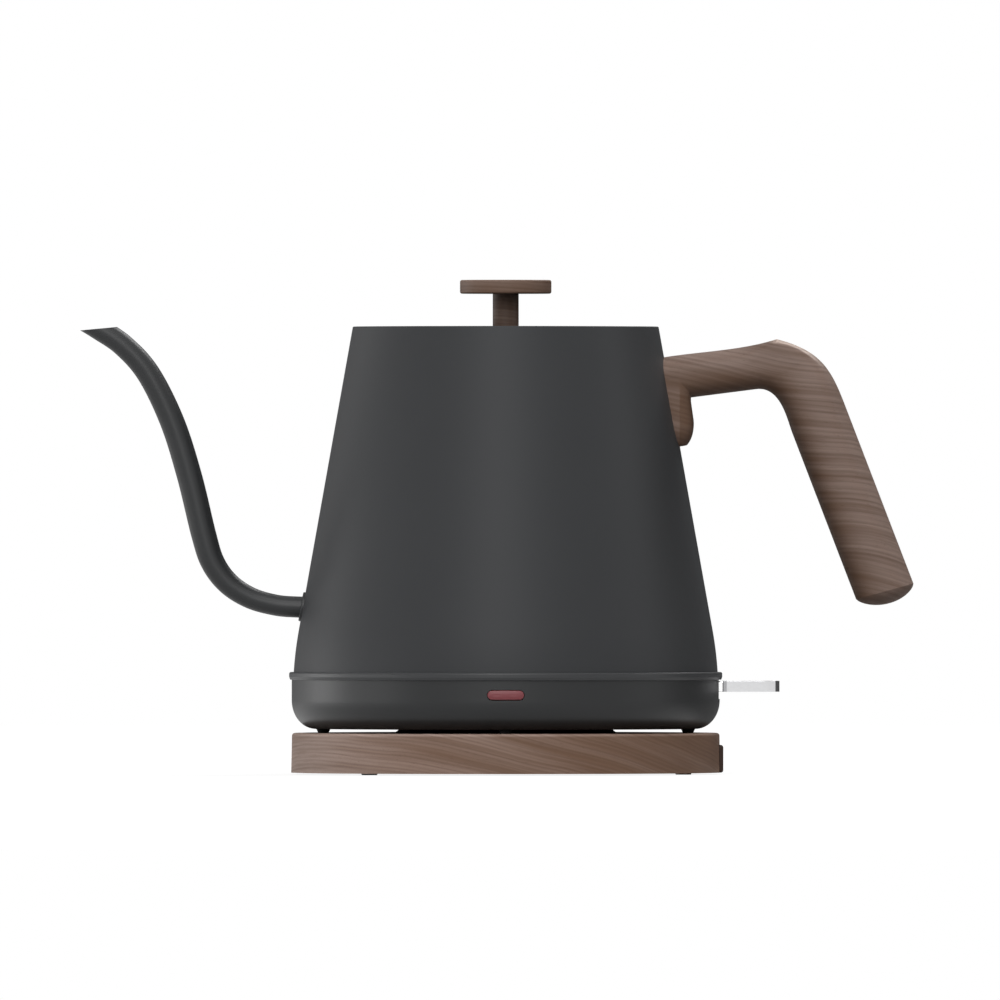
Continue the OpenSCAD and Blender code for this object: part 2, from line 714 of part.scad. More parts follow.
// A cradle on the housing's wall, open towards the window
module lamp_holder() {
    color(black) intersection() {
        difference() {
            block([-lamp_l / 2 - 1.5, -housing_r, window_z - lamp_d / 2 - 0.6],
                  [lamp_l / 2 + 1.5, lamp_y + lamp_d / 2 + 1.5, window_z + lamp_d / 2 + 0.6]);
            translate([-20, lamp_y, window_z]) rotate([0, 90, 0]) cylinder(d = lamp_d + 2 * seat_gap, h = 40);
            translate([0, lamp_y, window_z]) pill(window_l + 1, window_h + 0.6, 10);
        }
        cylinder(r = housing_in_r - seat_gap, h = through);
    }
}

// ---------------------------------------------------------------- steam path

// The tube ends below the lid's insert, and where it still clears the leaning wall
tube_clear = 3;
tube_wall_z = rim_z - (tube_x + tube_d / 2 + tube_clear + sheet_t - vessel_rim_r) / tan(lean);
tube_top_z = min(tube_wall_z, lid_z - insert_h - 8);
tube_low_z = floor_z - 4.5;

// Steam enters at the slanted top and runs down to the bimetal
module steam_tube() {
    color(steel) difference() {
        translate([tube_x, 0, tube_low_z]) cylinder(d = tube_d, h = tube_top_z - tube_low_z);
        translate([tube_x, 0, tube_low_z - 1]) cylinder(d = tube_bore, h = through);
        translate([tube_x, 0, tube_top_z]) rotate([0, 30, 0]) translate([-10, -10, 0]) cube(20);
    }
}

module steam_tube_grommet() {
    color(silicone) translate([tube_x, 0, floor_z]) rotate_extrude($fn = 64) polygon([
        [tube_d / 2, -1], [grommet_d / 2, -1], [grommet_d / 2, 0], [tube_d / 2 + 0.8, 0],
        [tube_d / 2 + 0.8, floor_t], [grommet_d / 2, floor_t], [tube_d / 2 + 0.4, floor_t + 1.4],
        [tube_d / 2, floor_t + 1.4]]);
}

// ---------------------------------------------------------------- spout

spout_sides = 20;
spout_root = [-wall_r(spout_root_z), spout_root_z];
// The centreline in fractions of the reach and the rise: out of the wall, up the neck, over to the mouth and
// a little past it, where the tube is cut
spout_shape = [[-0.05, 0], [0.0286, -0.0005], [0.1377, 0.0064], [0.2631, 0.0324], [0.372, 0.0831],
    [0.4493, 0.1572], [0.4951, 0.2566], [0.5667, 0.4673], [0.6537, 0.6644], [0.7724, 0.8367],
    [0.8989, 0.9386], [1.024, 0.9994], [1.09, 1.0281]];
spout_path = [for (p = spout_shape) [-p.x * spout_reach, p.y * spout_rise]];
spout_steps = 3;
mouth_slope = 5.3;
mouth_at = spout_root + [-spout_reach, spout_rise];

function spline(p, i, t) = let (
        a = p[max(i - 1, 0)], b = p[i], c = p[i + 1], d = p[min(i + 2, len(p) - 1)])
    0.5 * (2 * b + (c - a) * t + (2 * a - 5 * b + 4 * c - d) * t * t + (3 * b - a - 3 * c + d) * t * t * t);
function spout_at(s) = let (i = min(floor(s), len(spout_path) - 2)) spout_root + spline(spout_path, i, s - i);
function spout_dir(s) = let (v = spout_at(s + 0.02) - spout_at(s - 0.02)) v / norm(v);
function spout_od(s) = let (u = s / (len(spout_path) - 1)) u < 0.55
    ? spout_root_d + (spout_mid_d - spout_root_d) * (1 - cos(180 * min(1, max(0, (u - 0.15) / 0.4)))) / 2
    : spout_mid_d + (spout_tip_d - spout_mid_d) * (1 - cos(180 * min(1, (u - 0.55) / 0.4))) / 2;

// A point of the tube's skin; past the mouth's plane it is drawn back along the tube
function spout_point(s, r, a) = let (
        c = spout_at(s), d = spout_dir(s), n = [-d.y, d.x],
        p = c + n * r * cos(a),
        over = p.y - mouth_at.y - (p.x - mouth_at.x) * tan(mouth_slope),
        back = over > 0 && s > 6 ? over / (d.y - d.x * tan(mouth_slope)) : 0,
        q = p - d * back)
    [q.x, r * sin(a), q.y];

module spout() {
    last = len(spout_path) - 1;
    count = last * spout_steps;
    function loop(s, r) = [for (j = [0:spout_sides - 1]) spout_point(s, r, 360 * j / spout_sides)];
    function s_at(i) = min(last - 0.03, max(0.03, i / spout_steps));
    outer = [for (i = [0:count]) loop(s_at(i), spout_od(s_at(i)) / 2)];
    inner = [for (i = [count:-1:0]) loop(s_at(i), spout_od(s_at(i)) / 2 - spout_wall)];
    color(charcoal) polyhedron([for (l = concat(outer, inner)) each l],
        skin_faces(2 * (count + 1), spout_sides, looped = true), convexity = 10);
}

module spout_collar() {
    color(charcoal) difference() {
        translate([spout_root.x, 0, spout_root_z]) rotate([0, 90 + lean, 0]) translate([0, 0, -collar_t])
            cylinder(d1 = collar_d - 0.8, d2 = collar_d, h = collar_t + 4);
        translate([spout_root.x - 10, 0, spout_root_z]) rotate([0, 90, 0])
            cylinder(d = spout_root_d + 2 * seat_gap, h = 20);
        wall_solid();
    }
}

// ---------------------------------------------------------------- handle

handle_sides = 28;
handle_root = [wall_r(handle_z), handle_z];
// Guide curves in fractions of the reach and the drop, from where the arm's top meets the wall: each stretch
// is a Bezier curve, the outer one along the handle's back and the inner one along its palm side
arm_outer = [[-0.0573, -0.0112], [0.1111, 0.0247], [0.2875, 0.0209], [0.452, 0.0743]];
arm_inner = [[-0.0458, -0.1872], [0.0924, -0.1689], [0.2306, -0.1508], [0.3688, -0.1325]];
elbow_outer = [[0.452, 0.0743], [0.652, 0.0216], [0.6787, -0.0724], [0.745, -0.2503]];
elbow_inner = [[0.3688, -0.1325], [0.4674, -0.1195], [0.4928, -0.2562], [0.5152, -0.3164]];
grip_outer = [[0.745, -0.2503], [0.83, -0.4785], [0.915, -0.7068], [1, -0.9351]];
grip_inner = [[0.5152, -0.3164], [0.6, -0.5443], [0.6849, -0.7721], [0.7698, -1]];
stretches = [[arm_outer, arm_inner, 8], [elbow_outer, elbow_inner, 14], [grip_outer, grip_inner, 6]];
section_power = 2.5;

function power_cos(a) = sign(cos(a)) * pow(abs(cos(a)), 2 / section_power);
function power_sin(a) = sign(sin(a)) * pow(abs(sin(a)), 2 / section_power);
function handle_width(u) = arm_w + (grip_w - arm_w) * (1 - cos(180 * min(1, max(0, u - 0.8)))) / 2;

// One section between a point of the back and the matching point of the palm side
function handle_loop(outer, inner, width, shrink = 1, shift = [0, 0]) = let (
        c = (outer + inner) / 2, h = (outer - inner) / 2)
    [for (j = [0:handle_sides - 1])
        let (a = 360 * j / handle_sides, p = c + shift + h * shrink * power_sin(a))
        [handle_root.x + p.x * handle_reach, -shrink * width / 2 * power_cos(a),
         handle_root.y + p.y * handle_drop]];

module handle_bar() {
    loops = concat(
        [for (s = [0:2]) let (count = stretches[s][2]) each [for (i = [0:count - 1]) let (t = i / count)
            handle_loop(bezier(stretches[s][0], t), bezier(stretches[s][1], t), handle_width(s + t))]],
        [handle_loop(grip_outer[3], grip_inner[3], grip_w)]);
    polyhedron([for (l = loops) each l], skin_faces(len(loops), handle_sides), convexity = 6);
}

pad_corner = 8;

// The pad's outline from the side, then from the front, then cut to the vessel's wall
module handle_pad() {
    low_z = handle_z - pad_h;
    out_x = wall_r(handle_z - pad_h / 2) + pad_t;
    in_x = vessel_rim_r - 8;
    intersection() {
        translate([0, arm_w / 2, 0]) rotate([90, 0, 0]) linear_extrude(arm_w) polygon(concat(
            [[in_x, low_z]], arc([out_x - 4, low_z + 7.6], [4.85, 8.6], -62, 14, 7),
            [[out_x - 0.2, handle_z - 15.5], [out_x - 0.2, handle_z - 5], [in_x, handle_z - 7]]));
        translate([in_x - 2, 0, 0]) rotate([90, 0, 90]) linear_extrude(out_x - in_x + 4) union() {
            translate([-arm_w / 2, low_z + pad_corner]) square([arm_w, pad_h - pad_corner - 4]);
            translate([-arm_w / 2 + pad_corner, low_z]) square([arm_w - 2 * pad_corner, pad_corner + 1]);
            for (s = [-1, 1]) translate([s * (arm_w / 2 - pad_corner), low_z + pad_corner])
                circle(r = pad_corner);
        }
    }
}

tongue_z = handle_z - 7;
tongue_t = 2;
tongue_w = 11;
tongue_l = 25;
bracket_h = 20;
bracket_t = 1.5;
handle_screw_d = 3;
handle_screw_x = [12, 20];
screw_seat_z = tongue_z - 2.6;

module handle() {
    color(walnut) difference() {
        union() {
            handle_bar();
            handle_pad();
        }
        wall_solid();
        // Slot for the bracket's tongue and pocket for its plate
        block([0, -tongue_w / 2 - 0.2, tongue_z - 0.2],
              [handle_root.x + tongue_l + 0.4, tongue_w / 2 + 0.2, tongue_z + tongue_t + 0.2]);
        intersection() {
            block([0, -tongue_w / 2 - 0.2, tongue_z - bracket_h - 0.2],
                  [through, tongue_w / 2 + 0.2, tongue_z + tongue_t + 0.2]);
            wall_solid(-bracket_t - 0.2);
        }
        for (x = handle_screw_x) translate([handle_root.x + x, 0, 0]) {
            translate([0, 0, handle_z - 30]) cylinder(d = handle_screw_d + 2 * seat_gap, h = 27);
            translate([0, 0, handle_z - 30]) cylinder(d = 6, h = screw_seat_z - handle_z + 30);
        }
    }
}

// The domed plug that closes the grip's lower end
module handle_end_cap() {
    last = grip_outer[3] - grip_outer[2];
    step = end_dome / norm([last.x * handle_reach, last.y * handle_drop]) * last;
    rows = 5;
    loops = [for (i = [0:rows]) let (a = 88 * i / rows)
        handle_loop(grip_outer[3], grip_inner[3], grip_w, cos(a), step * sin(a))];
    color(walnut) polyhedron([for (l = loops) each l], skin_faces(rows + 1, handle_sides), convexity = 4);
}

// A plate welded to the wall, with a tongue that reaches into the arm
module handle_bracket() {
    color(steel) difference() {
        union() {
            intersection() {
                block([0, -tongue_w / 2, tongue_z - bracket_h], [through, tongue_w / 2, tongue_z + tongue_t]);
                wall_solid(-bracket_t);
            }
            block([handle_root.x - 1, -tongue_w / 2, tongue_z],
                  [handle_root.x + tongue_l, tongue_w / 2, tongue_z + tongue_t]);
        }
        wall_solid();
        for (x = handle_screw_x) translate([handle_root.x + x, 0, tongue_z - 1])
            cylinder(d = handle_screw_d + seat_gap, h = tongue_t + 2);
    }
}

module handle_screws() {
    color(steel) for (x = handle_screw_x) translate([handle_root.x + x, 0, 0])
        rotate_extrude($fn = 48) polygon([
            [0, screw_seat_z - 2], [2.7, screw_seat_z - 2], [2.7, screw_seat_z],
            [handle_screw_d / 2, screw_seat_z], [handle_screw_d / 2, tongue_z + tongue_t + 0.8],
            [0, tongue_z + tongue_t + 1]]);
}

// ---------------------------------------------------------------- lid

insert_r = mouth_r - 1.2;
insert_t = 1;
gasket_z = lid_z - 5.2;
knob_screw_d = 4;
knob_screw_head_d = 8;

module lid_plate() {
    color(charcoal) rotate_extrude() polygon([
        [knob_screw_d / 2 + seat_gap, lid_z], [seat_r - 0.35, lid_z], [seat_r - 0.35, lid_top_z - 0.4],
        [seat_r - 0.75, lid_top_z], [knob_screw_d / 2 + seat_gap, lid_top_z]]);
}

// A shallow cup under the plate, which makes the lid double and carries the gasket
module lid_insert() {
    groove = 0.8;
    color(black) rotate_extrude() polygon([
        [0, lid_z - insert_h], [insert_r - 1.5, lid_z - insert_h], [insert_r, lid_z - insert_h + 1.5],
        [insert_r, gasket_z], [insert_r - groove, gasket_z], [insert_r - groove, gasket_z + 2],
        [insert_r, gasket_z + 2], [insert_r, lid_z], [insert_r - 2, lid_z],
        [insert_r - 2, lid_z - insert_h + insert_t], [0, lid_z - insert_h + insert_t]]);
}

module lid_gasket() {
    lip_r = mouth_r - move_gap;
    color(silicone) rotate_extrude() polygon([
        [insert_r - 0.8, gasket_z], [insert_r, gasket_z], [lip_r, gasket_z + 0.7], [lip_r, gasket_z + 1.3],
        [insert_r, gasket_z + 2], [insert_r - 0.8, gasket_z + 2]]);
}

module knob_stem() {
    color(walnut) difference() {
        translate([0, 0, lid_top_z]) cylinder(d = stem_d, h = stem_h);
        translate([0, 0, lid_top_z - 1]) cylinder(d = knob_screw_d + seat_gap, h = stem_h + 2);
    }
}

module knob_cap() {
    r = knob_d / 2;
    e = knob_edge;
    color(walnut) difference() {
        rotate_extrude() polygon(concat(
            [[0, knob_z]], arc([r - e, knob_z + e], [e, e], -90, 0, 5),
            arc([r - e, knob_z + knob_t - e], [e, e], 0, 90, 5), [[0, knob_z + knob_t]]));
        translate([0, 0, knob_z - 1]) cylinder(d = knob_screw_d + seat_gap, h = 1 + knob_t - 1.4);
    }
}

module knob_screw() {
    color(steel) rotate_extrude($fn = 48) polygon([
        [0, lid_z - 2.2], [knob_screw_head_d / 2 - 0.6, lid_z - 2.2], [knob_screw_head_d / 2, lid_z - 1.2],
        [knob_screw_head_d / 2, lid_z], [knob_screw_d / 2, lid_z], [knob_screw_d / 2, knob_z + knob_t - 2.4],
        [0, knob_z + knob_t - 1.8]]);
}

// ---------------------------------------------------------------- switch lever

// A paddle with rounded corners outside the housing, a hub on the pin and a narrow arm inside
module switch_lever() {
    tip_x = housing_r + lever_reach;
    round_r = 5;
    arm_x = guide_x - 1.6;
    color(chrome) difference() {
        union() {
            translate([0, 0, pivot_z - lever_t / 2]) linear_extrude(lever_t) union() {
                translate([pivot_x, -lever_w / 2 + 2]) square([pivot_in / 2, lever_w - 4]);
                translate([pivot_x + 4, -lever_w / 2]) square([tip_x - pivot_x - 4 - round_r, lever_w]);
                translate([pivot_x + 4, -lever_w / 2 + round_r])
                    square([tip_x - pivot_x - 4, lever_w - 2 * round_r]);
                for (s = [-1, 1]) translate([tip_x - round_r, s * (lever_w / 2 - round_r)])
                    circle(r = round_r);
            }
            translate([pivot_x, -hub_w / 2, pivot_z]) rotate([-90, 0, 0])
                cylinder(d = lever_pin_d + 3.4, h = hub_w);
            block([arm_x, -3, pivot_z - 1.6], [pivot_x, 3, pivot_z + 1.6]);
        }
        translate([pivot_x, -lever_w, pivot_z]) rotate([-90, 0, 0])
            cylinder(d = lever_pin_d + 2 * pin_gap, h = 2 * lever_w);
    }
}

module contact_pushrod() {
    color("#e8e4da") translate([guide_x, 0, pushrod_z]) cylinder(d = pushrod_d, h = pushrod_h);
}

// ---------------------------------------------------------------- nodes

base_cover();
base_bottom_plate();
base_feet();
base_screws();
base_connector();
base_pin_contact();
base_ring_contacts();
base_terminals();
cord_gland();
cord_clamp();
cord_clamp_screws();
coupler_body();
coupler_pin();
coupler_rings();
vessel();
vessel_floor();
heat_spreader();
heating_element();
element_terminals();
trim_ring();
lower_housing();
kettle_feet();
housing_studs();
housing_screws();
control_body();
control_screws();
dry_boil_discs();
switch_holder();
lever_pin();
steam_bimetal();
switch_contacts();
indicator_lens();
indicator_lamp();
lamp_holder();
steam_tube();
steam_tube_grommet();
spout();
spout_collar();
handle();
handle_end_cap();
handle_bracket();
handle_screws();
lid_plate();
lid_insert();
lid_gasket();
knob_stem();
knob_cap();
knob_screw();
switch_lever();
contact_pushrod();
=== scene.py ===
"""Electric gooseneck kettle on a round power base: its skins, finishes, light and camera.

Sizes are in millimetres in the kettle's own frame: the vessel's axis is Z, the worktop is z = 0,
+X points to the handle and -Y to the viewer. Meshes are written in metres.

Each piece is one or more skins: a skin is a grid of points worked out from two parameters, such
as a place along a profile and an angle round the axis. Each finish is worked out from the place
on the piece.
"""

import math

import bpy
import numpy as np
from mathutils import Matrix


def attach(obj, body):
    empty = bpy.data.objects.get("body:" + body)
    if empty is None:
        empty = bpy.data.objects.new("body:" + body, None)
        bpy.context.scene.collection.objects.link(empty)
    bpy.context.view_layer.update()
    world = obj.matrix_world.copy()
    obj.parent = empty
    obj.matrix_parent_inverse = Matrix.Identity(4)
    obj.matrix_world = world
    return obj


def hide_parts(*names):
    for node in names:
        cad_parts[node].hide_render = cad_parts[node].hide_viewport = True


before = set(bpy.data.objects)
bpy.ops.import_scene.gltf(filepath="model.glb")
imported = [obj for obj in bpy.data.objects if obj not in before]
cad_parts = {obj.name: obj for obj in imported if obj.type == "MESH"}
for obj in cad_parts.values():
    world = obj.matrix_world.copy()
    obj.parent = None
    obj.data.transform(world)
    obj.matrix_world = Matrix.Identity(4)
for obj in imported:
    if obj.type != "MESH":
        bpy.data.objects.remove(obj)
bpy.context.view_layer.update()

TAU = 2 * math.pi
MM = 0.001
FRONT, LEFT = 1.5 * math.pi, math.pi  # angles round the vessel's axis

# Heights and radii of the turned parts
BASE_Z, BASE_TOP_Z, BASE_R, BASE_TOP_R, BASE_NECK_R = 0.6, 14.5, 75.1, 74.8, 34.1
HOUSING_Z, HOUSING_R, TRIM_Z, TRIM_R = 15.9, 74.9, 33.1, 75.8
VESSEL_Z, FLARE_Z, RIM_Z = 35.8, 50.0, 156.7
FOOT_R, FLARE_R, RIM_R = 74.2, 72.5, 53.5
SEAT_R, MOUTH_R, LID_Z, LID_TOP_Z, LID_R = 49.3, 46.5, 155.1, 156.3, 48.95
KNOB_Z, KNOB_TOP_Z, KNOB_R, STEM_R = 168.2, 173.0, 16.0, 4.55

# Thickness of the bent and moulded sheets
BASE_WALL, HOUSING_WALL, VESSEL_WALL, SPOUT_WALL = 2.4, 2.0, 0.8, 0.6

# Cord outlet: its width, height and rounding, and the notch in the base that it sits in
OUTLET_W, OUTLET_H, OUTLET_ROUND = 14.0, 9.7, 0.9
NOTCH_HALF, NOTCH_Z = 7.1, 10.4

# Switch lever: middle height, thickness and width, x of the paddle's two ends, the pin and the
# arm's end, and the slot that it stands out of
LEVER_Z, LEVER_T, LEVER_W = 30.8, 3.8, 14.0
LEVER_X, LEVER_TIP, PIN_X, ARM_X = 75.9, 95.8, 66.0, 56.9
SLOT_HALF, SLOT_Z = 7.4, 26.35

# Lamp window: middle height, length and height. Screw holes in the housing's floor
WINDOW_Z, WINDOW_L, WINDOW_H = 28.0, 12.8, 3.3
SCREWS_R, SCREW_HOLE_R, SCREW_ANGLES = 52.0, 3.2, [math.radians(a) for a in (60, 180, 300)]

# Where the spout and the handle meet the vessel's wall, and the hole behind the spout
SPOUT_Z, SPOUT_HOLE_R, HANDLE_Z = 58.6, 3.45, 146.0

# The wall's lean, and the radius of the arc that flares it out to the foot
LEAN = math.atan((FLARE_R - RIM_R) / (RIM_Z - FLARE_Z))
FLARE_OUT, FLARE_UP = FOOT_R - FLARE_R, FLARE_Z - VESSEL_Z
FLARE_ARC = (math.hypot(FLARE_OUT, FLARE_UP)
             / (2 * math.sin(LEAN - math.atan(FLARE_OUT / FLARE_UP))))


def wall_r(z):
    """Radius of the vessel's wall: a straight cone above the flare, and below it a circle's arc
    tangent to it."""
    z = np.asarray(z, float)
    angle = np.arcsin(math.sin(LEAN) - (FLARE_Z - np.minimum(z, FLARE_Z)) / FLARE_ARC)
    return np.where(z >= FLARE_Z, RIM_R + (RIM_Z - z) * math.tan(LEAN),
                    FLARE_R + FLARE_ARC * (np.cos(angle) - math.cos(LEAN)))


# ---------------------------------------------------------------- surfaces


def unit(v):
    """The vectors along the last axis, each 1 long."""
    return v / np.linalg.norm(v, axis=-1, keepdims=True)


def around(count):
    """Angles once round, evenly spaced."""
    return np.linspace(0, TAU, count, endpoint=False)


def turn_from(a, middle):
    """How far angle a is from the middle one, from minus to plus half a turn."""
    return (a - middle + math.pi) % TAU - math.pi


def distances(profile):
    """The distance along a profile to each of its points."""
    return np.concatenate([[0], np.cumsum(np.linalg.norm(np.diff(profile, axis=0), axis=1))])


def along(profile, r=None, z=None):
    """The distance along a profile to the first place where it crosses that radius or height."""
    profile, length = np.asarray(profile, float), distances(profile)
    side = profile[:, 0] - r if z is None else profile[:, 1] - z
    i = np.argmax(side[:-1] * side[1:] <= 0)
    return float(length[i] + (length[i + 1] - length[i]) * side[i] / (side[i] - side[i + 1]))


def rounded(corners, closed=False, steps=6, hold=0.15):
    """A line through corners (u, v, radius). At each corner it turns on an arc tangent to both
    legs, with one more point a little way along each leg, so that the flats beside it shade
    flat."""
    line = []
    for i, (u, v, radius) in enumerate(corners):
        p = np.array([u, v], float)
        if radius == 0 or (not closed and i in (0, len(corners) - 1)):
            line.append(p[None])
            continue
        a = unit(np.array(corners[i - 1][:2]) - p)
        b = unit(np.array(corners[(i + 1) % len(corners)][:2]) - p)
        half = math.acos(np.clip(a @ b, -1, 1)) / 2
        reach, turn = radius / math.tan(half), math.pi - 2 * half
        centre = p + unit(a + b) * radius / math.sin(half)
        t = np.linspace(0, 1, steps + 1)[:, None]
        arc = centre + (np.sin((1 - t) * turn) * (p + a * reach - centre)
                        + np.sin(t * turn) * (p + b * reach - centre)) / math.sin(turn)
        line += [(p + a * (reach + hold))[None], arc, (p + b * (reach + hold))[None]]
    return np.vstack(line)


def ring_angles(count=192, fine=()):
    """Angles once round, evenly spaced, with finer ones added where fine gives (middle, half
    width, step)."""
    a = around(count)
    for middle, half, step in fine:
        n = int(math.ceil(half / step))
        coarse = a[np.abs(turn_from(a, middle)) > half + step / 2]
        a = np.concatenate([coarse, middle + np.linspace(-half, half, 2 * n + 1)])
    return np.unique(np.round(a % TAU, 9))


def turned(profile, angles):
    """A turned surface: the profile's point (r, z) at angle a lies at (r cos a, r sin a, z)."""
    r, z = np.asarray(profile, float).T
    return np.stack([np.outer(r, np.cos(angles)), np.outer(r, np.sin(angles)),
                     np.outer(z, np.ones_like(angles))], -1)


def pierced(profile, angles, rounds=(), slots=(), grid=0.35):
    """A turned sheet with openings. Its two parameters are the distance v along the profile and
    the angle a. A round or pill opening (angle, v, half length, radius) moves the nearest grid
    points onto its edge, at the distance radius from its middle line, and leaves out the cells
    inside it. A slot (angle, half angle, v from, v to) leaves out the whole cells between grid
    lines. Returns the points and the cells kept."""
    profile = np.asarray(profile, float)
    length = distances(profile)
    edges = np.array([v for _, _, v0, v1 in slots for v in (v0, v1)]
                     + [v for _, at, _, radius in rounds for v in (at - radius, at + radius)])
    # Rows: the profile's own points, finer ones across each round opening, and the edges of the
    # openings, with none much closer together than the grid
    finer = [v + np.arange(-radius - 1, radius + 1, grid) for _, v, _, radius in rounds]
    rows = np.concatenate([length] + finer)
    rows = rows[np.abs(rows[:, None] - edges).min(1, initial=9) > grid * 0.6]
    rows = np.unique(np.round(np.concatenate([rows, edges, length[[0, -1]]]), 5))
    rows = rows[(rows >= 0) & (rows < length[-1] + 1e-4)]
    rows = rows[np.concatenate([[True], np.diff(rows) > 0.02])]
    v, a = np.meshgrid(rows, angles, indexing="ij")
    v_mid = (v[1:] + v[:-1]) / 2
    a_mid = a[:-1] + (np.roll(a, -1, 1)[:-1] - a[:-1]) % TAU / 2
    keep = np.ones(v_mid.shape, bool)
    # Points nearest a round edge move onto it. s and t are the distances from the opening's middle
    # round and along the sheet, and line is the nearest point of its middle line
    for angle, at, half, radius in rounds:
        r = float(np.interp(at, length, profile[:, 0]))
        s, t = turn_from(a, angle) * r, v - at
        line = np.clip(s, -half, half)
        away = np.hypot(s - line, t)
        snap = (np.abs(away - radius) < grid * 0.55) & (away > 0)
        scale = np.where(snap, radius / np.maximum(away, 1e-6), 1)
        a = np.where(snap, angle + (line + (s - line) * scale) / r, a)
        v = np.where(snap, at + t * scale, v)
        s, t = turn_from(a_mid, angle) * r, v_mid - at
        keep &= np.hypot(s - np.clip(s, -half, half), t) > radius - grid * 0.2
    for angle, half, v0, v1 in slots:
        inside = np.abs(turn_from(a_mid, angle)) < half
        keep &= ~(inside & (v_mid > v0) & (v_mid < v1))
    r, z = np.interp(v, length, profile[:, 0]), np.interp(v, length, profile[:, 1])
    return np.stack([r * np.cos(a), r * np.sin(a), z], -1), keep


def skin(points, keep=None, round_rows=False, tips=(None, None)):
    """Points and faces of a grid of quads, whose last column joins its first. A tip closes the
    first or last row with a fan, to the row's middle where it says "flat", and otherwise to the
    point that it gives."""
    rows, cols = points.shape[:2]
    i = np.arange(rows if round_rows else rows - 1)[:, None]
    j = np.arange(cols)[None, :]
    i2, j2 = (i + 1) % rows, (j + 1) % cols
    corners = (i * cols + j, i * cols + j2, i2 * cols + j2, i2 * cols + j)
    quads = np.stack(np.broadcast_arrays(*corners), -1)
    quads = quads[keep] if keep is not None else quads.reshape(-1, 4)
    points = points.reshape(-1, 3)
    fans = []
    for end, tip in enumerate(tips):
        if tip is None:
            continue
        k = np.arange(cols) + (rows - 1) * cols * end
        k2 = np.roll(k, -1)
        centre = points[k].mean(0) if isinstance(tip, str) else np.array(tip, float)
        middle = np.full(cols, len(points))
        fans.append(np.stack([k2, k, middle] if end == 0 else [k, k2, middle], -1))
        points = np.vstack([points, centre])
    return points, quads, fans


def put(name, data):
    """A new object in the scene, at the origin, that holds this mesh, lamp or camera."""
    obj = bpy.data.objects.new(name, data)
    bpy.context.scene.collection.objects.link(obj)
    return obj


def piece(name, body, node, finish, skins, wall=0.0, sharp=32, turn_over=False):
    """One piece of the kettle from its skins, in metres, which stands for that node. With a wall,
    the sheet is thickened inwards. Edges that turn by more than sharp degrees, and open ones, are
    shaded crisp."""
    points, faces, count = [], [], 0
    for p, quads, fans in skins:
        used = np.unique(np.concatenate([f.ravel() for f in [quads] + fans]))
        place = np.full(len(p), -1)
        place[used] = np.arange(len(used)) + count
        for f in [quads] + fans:
            faces += (place[f][:, ::-1] if turn_over else place[f]).tolist()
        points.append(p[used])
        count += len(used)
    mesh = bpy.data.meshes.new(name)
    mesh.from_pydata((np.vstack(points) * MM).tolist(), [], faces)
    mesh.validate()
    mesh.shade_smooth()
    mesh.set_sharp_from_angle(angle=math.radians(sharp))
    of_corner, crisp = np.empty(len(mesh.loops), int), np.empty(len(mesh.edges), bool)
    mesh.loops.foreach_get("edge_index", of_corner)
    mesh.edges.foreach_get("use_edge_sharp", crisp)
    open_edge = np.bincount(of_corner, minlength=len(mesh.edges)) == 1
    mesh.edges.foreach_set("use_edge_sharp", crisp | open_edge)
    mesh.materials.append(finish)
    obj = put(name, mesh)
    if wall:
        thick = obj.modifiers.new("wall", "SOLIDIFY")
        thick.thickness, thick.offset = wall * MM, -1
    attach(obj, body)
    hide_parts(node)


# ---------------------------------------------------------------- finishes


class Field:
    """A value that changes over a surface. Arithmetic on it adds the nodes that work it out."""

    def __init__(self, nodes, socket):
        self.nodes, self.socket = nodes, socket

    def maths(self, operation, *values):
        """The Math node's operation on the values."""
        return self.nodes.node("ShaderNodeMath", {"operation": operation}, dict(enumerate(values)))

    def __add__(self, other):
        return self.maths("ADD", self, other)

    def __sub__(self, other):
        return self.maths("SUBTRACT", self, other)

    def __rsub__(self, other):
        return self.maths("SUBTRACT", other, self)

    def __mul__(self, other):
        return self.maths("MULTIPLY", self, other)

    __radd__, __rmul__ = __add__, __mul__

    def larger(self, other):
        """It or the other, whichever is larger."""
        return self.maths("MAXIMUM", self, other)

    def above(self, low):
        """The part of it above low, and 0 below."""
        return (self - low).larger(0.0)

    def sine(self):
        """Its sine, from -1 to 1."""
        return self.maths("SINE", self)

    def angle(self, x):
        """The angle of the point (x, it) round the origin, from minus to plus half a turn."""
        return self.maths("ARCTAN2", self, x)

    def between(self, low, high):
        """0 at low, 1 at high, and smooth in between."""
        return self.nodes.node("ShaderNodeMapRange", {"interpolation_type": "SMOOTHSTEP"},
                               {"Value": self, "From Min": low, "From Max": high})


class Nodes:
    """The nodes of a material or a world, and the one way that they are made."""

    def __init__(self, owner):
        owner.use_nodes = True
        self.tree = owner.node_tree
        self.tree.nodes.clear()

    def node(self, kind, settings=None, values=None, out=0):
        """A node of that type with its settings and then its sockets' values or links. Returns
        one of its outputs."""
        node = self.tree.nodes.new(kind)
        for key, value in (settings or {}).items():
            setattr(node, key, value)
        for key, value in (values or {}).items():
            self.feed(node.inputs[key], value)
        return Field(self, node.outputs[out]) if node.outputs else None

    def feed(self, socket, value):
        """A link to the socket from a field, or the socket's own number or colour."""
        if isinstance(value, Field):
            self.tree.links.new(value.socket, socket)
        elif socket.type == "RGBA" and len(value) == 3:
            socket.default_value = (*value, 1)
        else:
            socket.default_value = value

    def split(self, vector):
        """The three coordinates of a vector."""
        parts = self.node("ShaderNodeSeparateXYZ", values={0: vector})
        return [Field(self, socket) for socket in parts.socket.node.outputs]

    def ray(self, kind):
        """1 for rays of that kind and 0 for others."""
        return self.node("ShaderNodeLightPath", out=f"Is {kind} Ray")


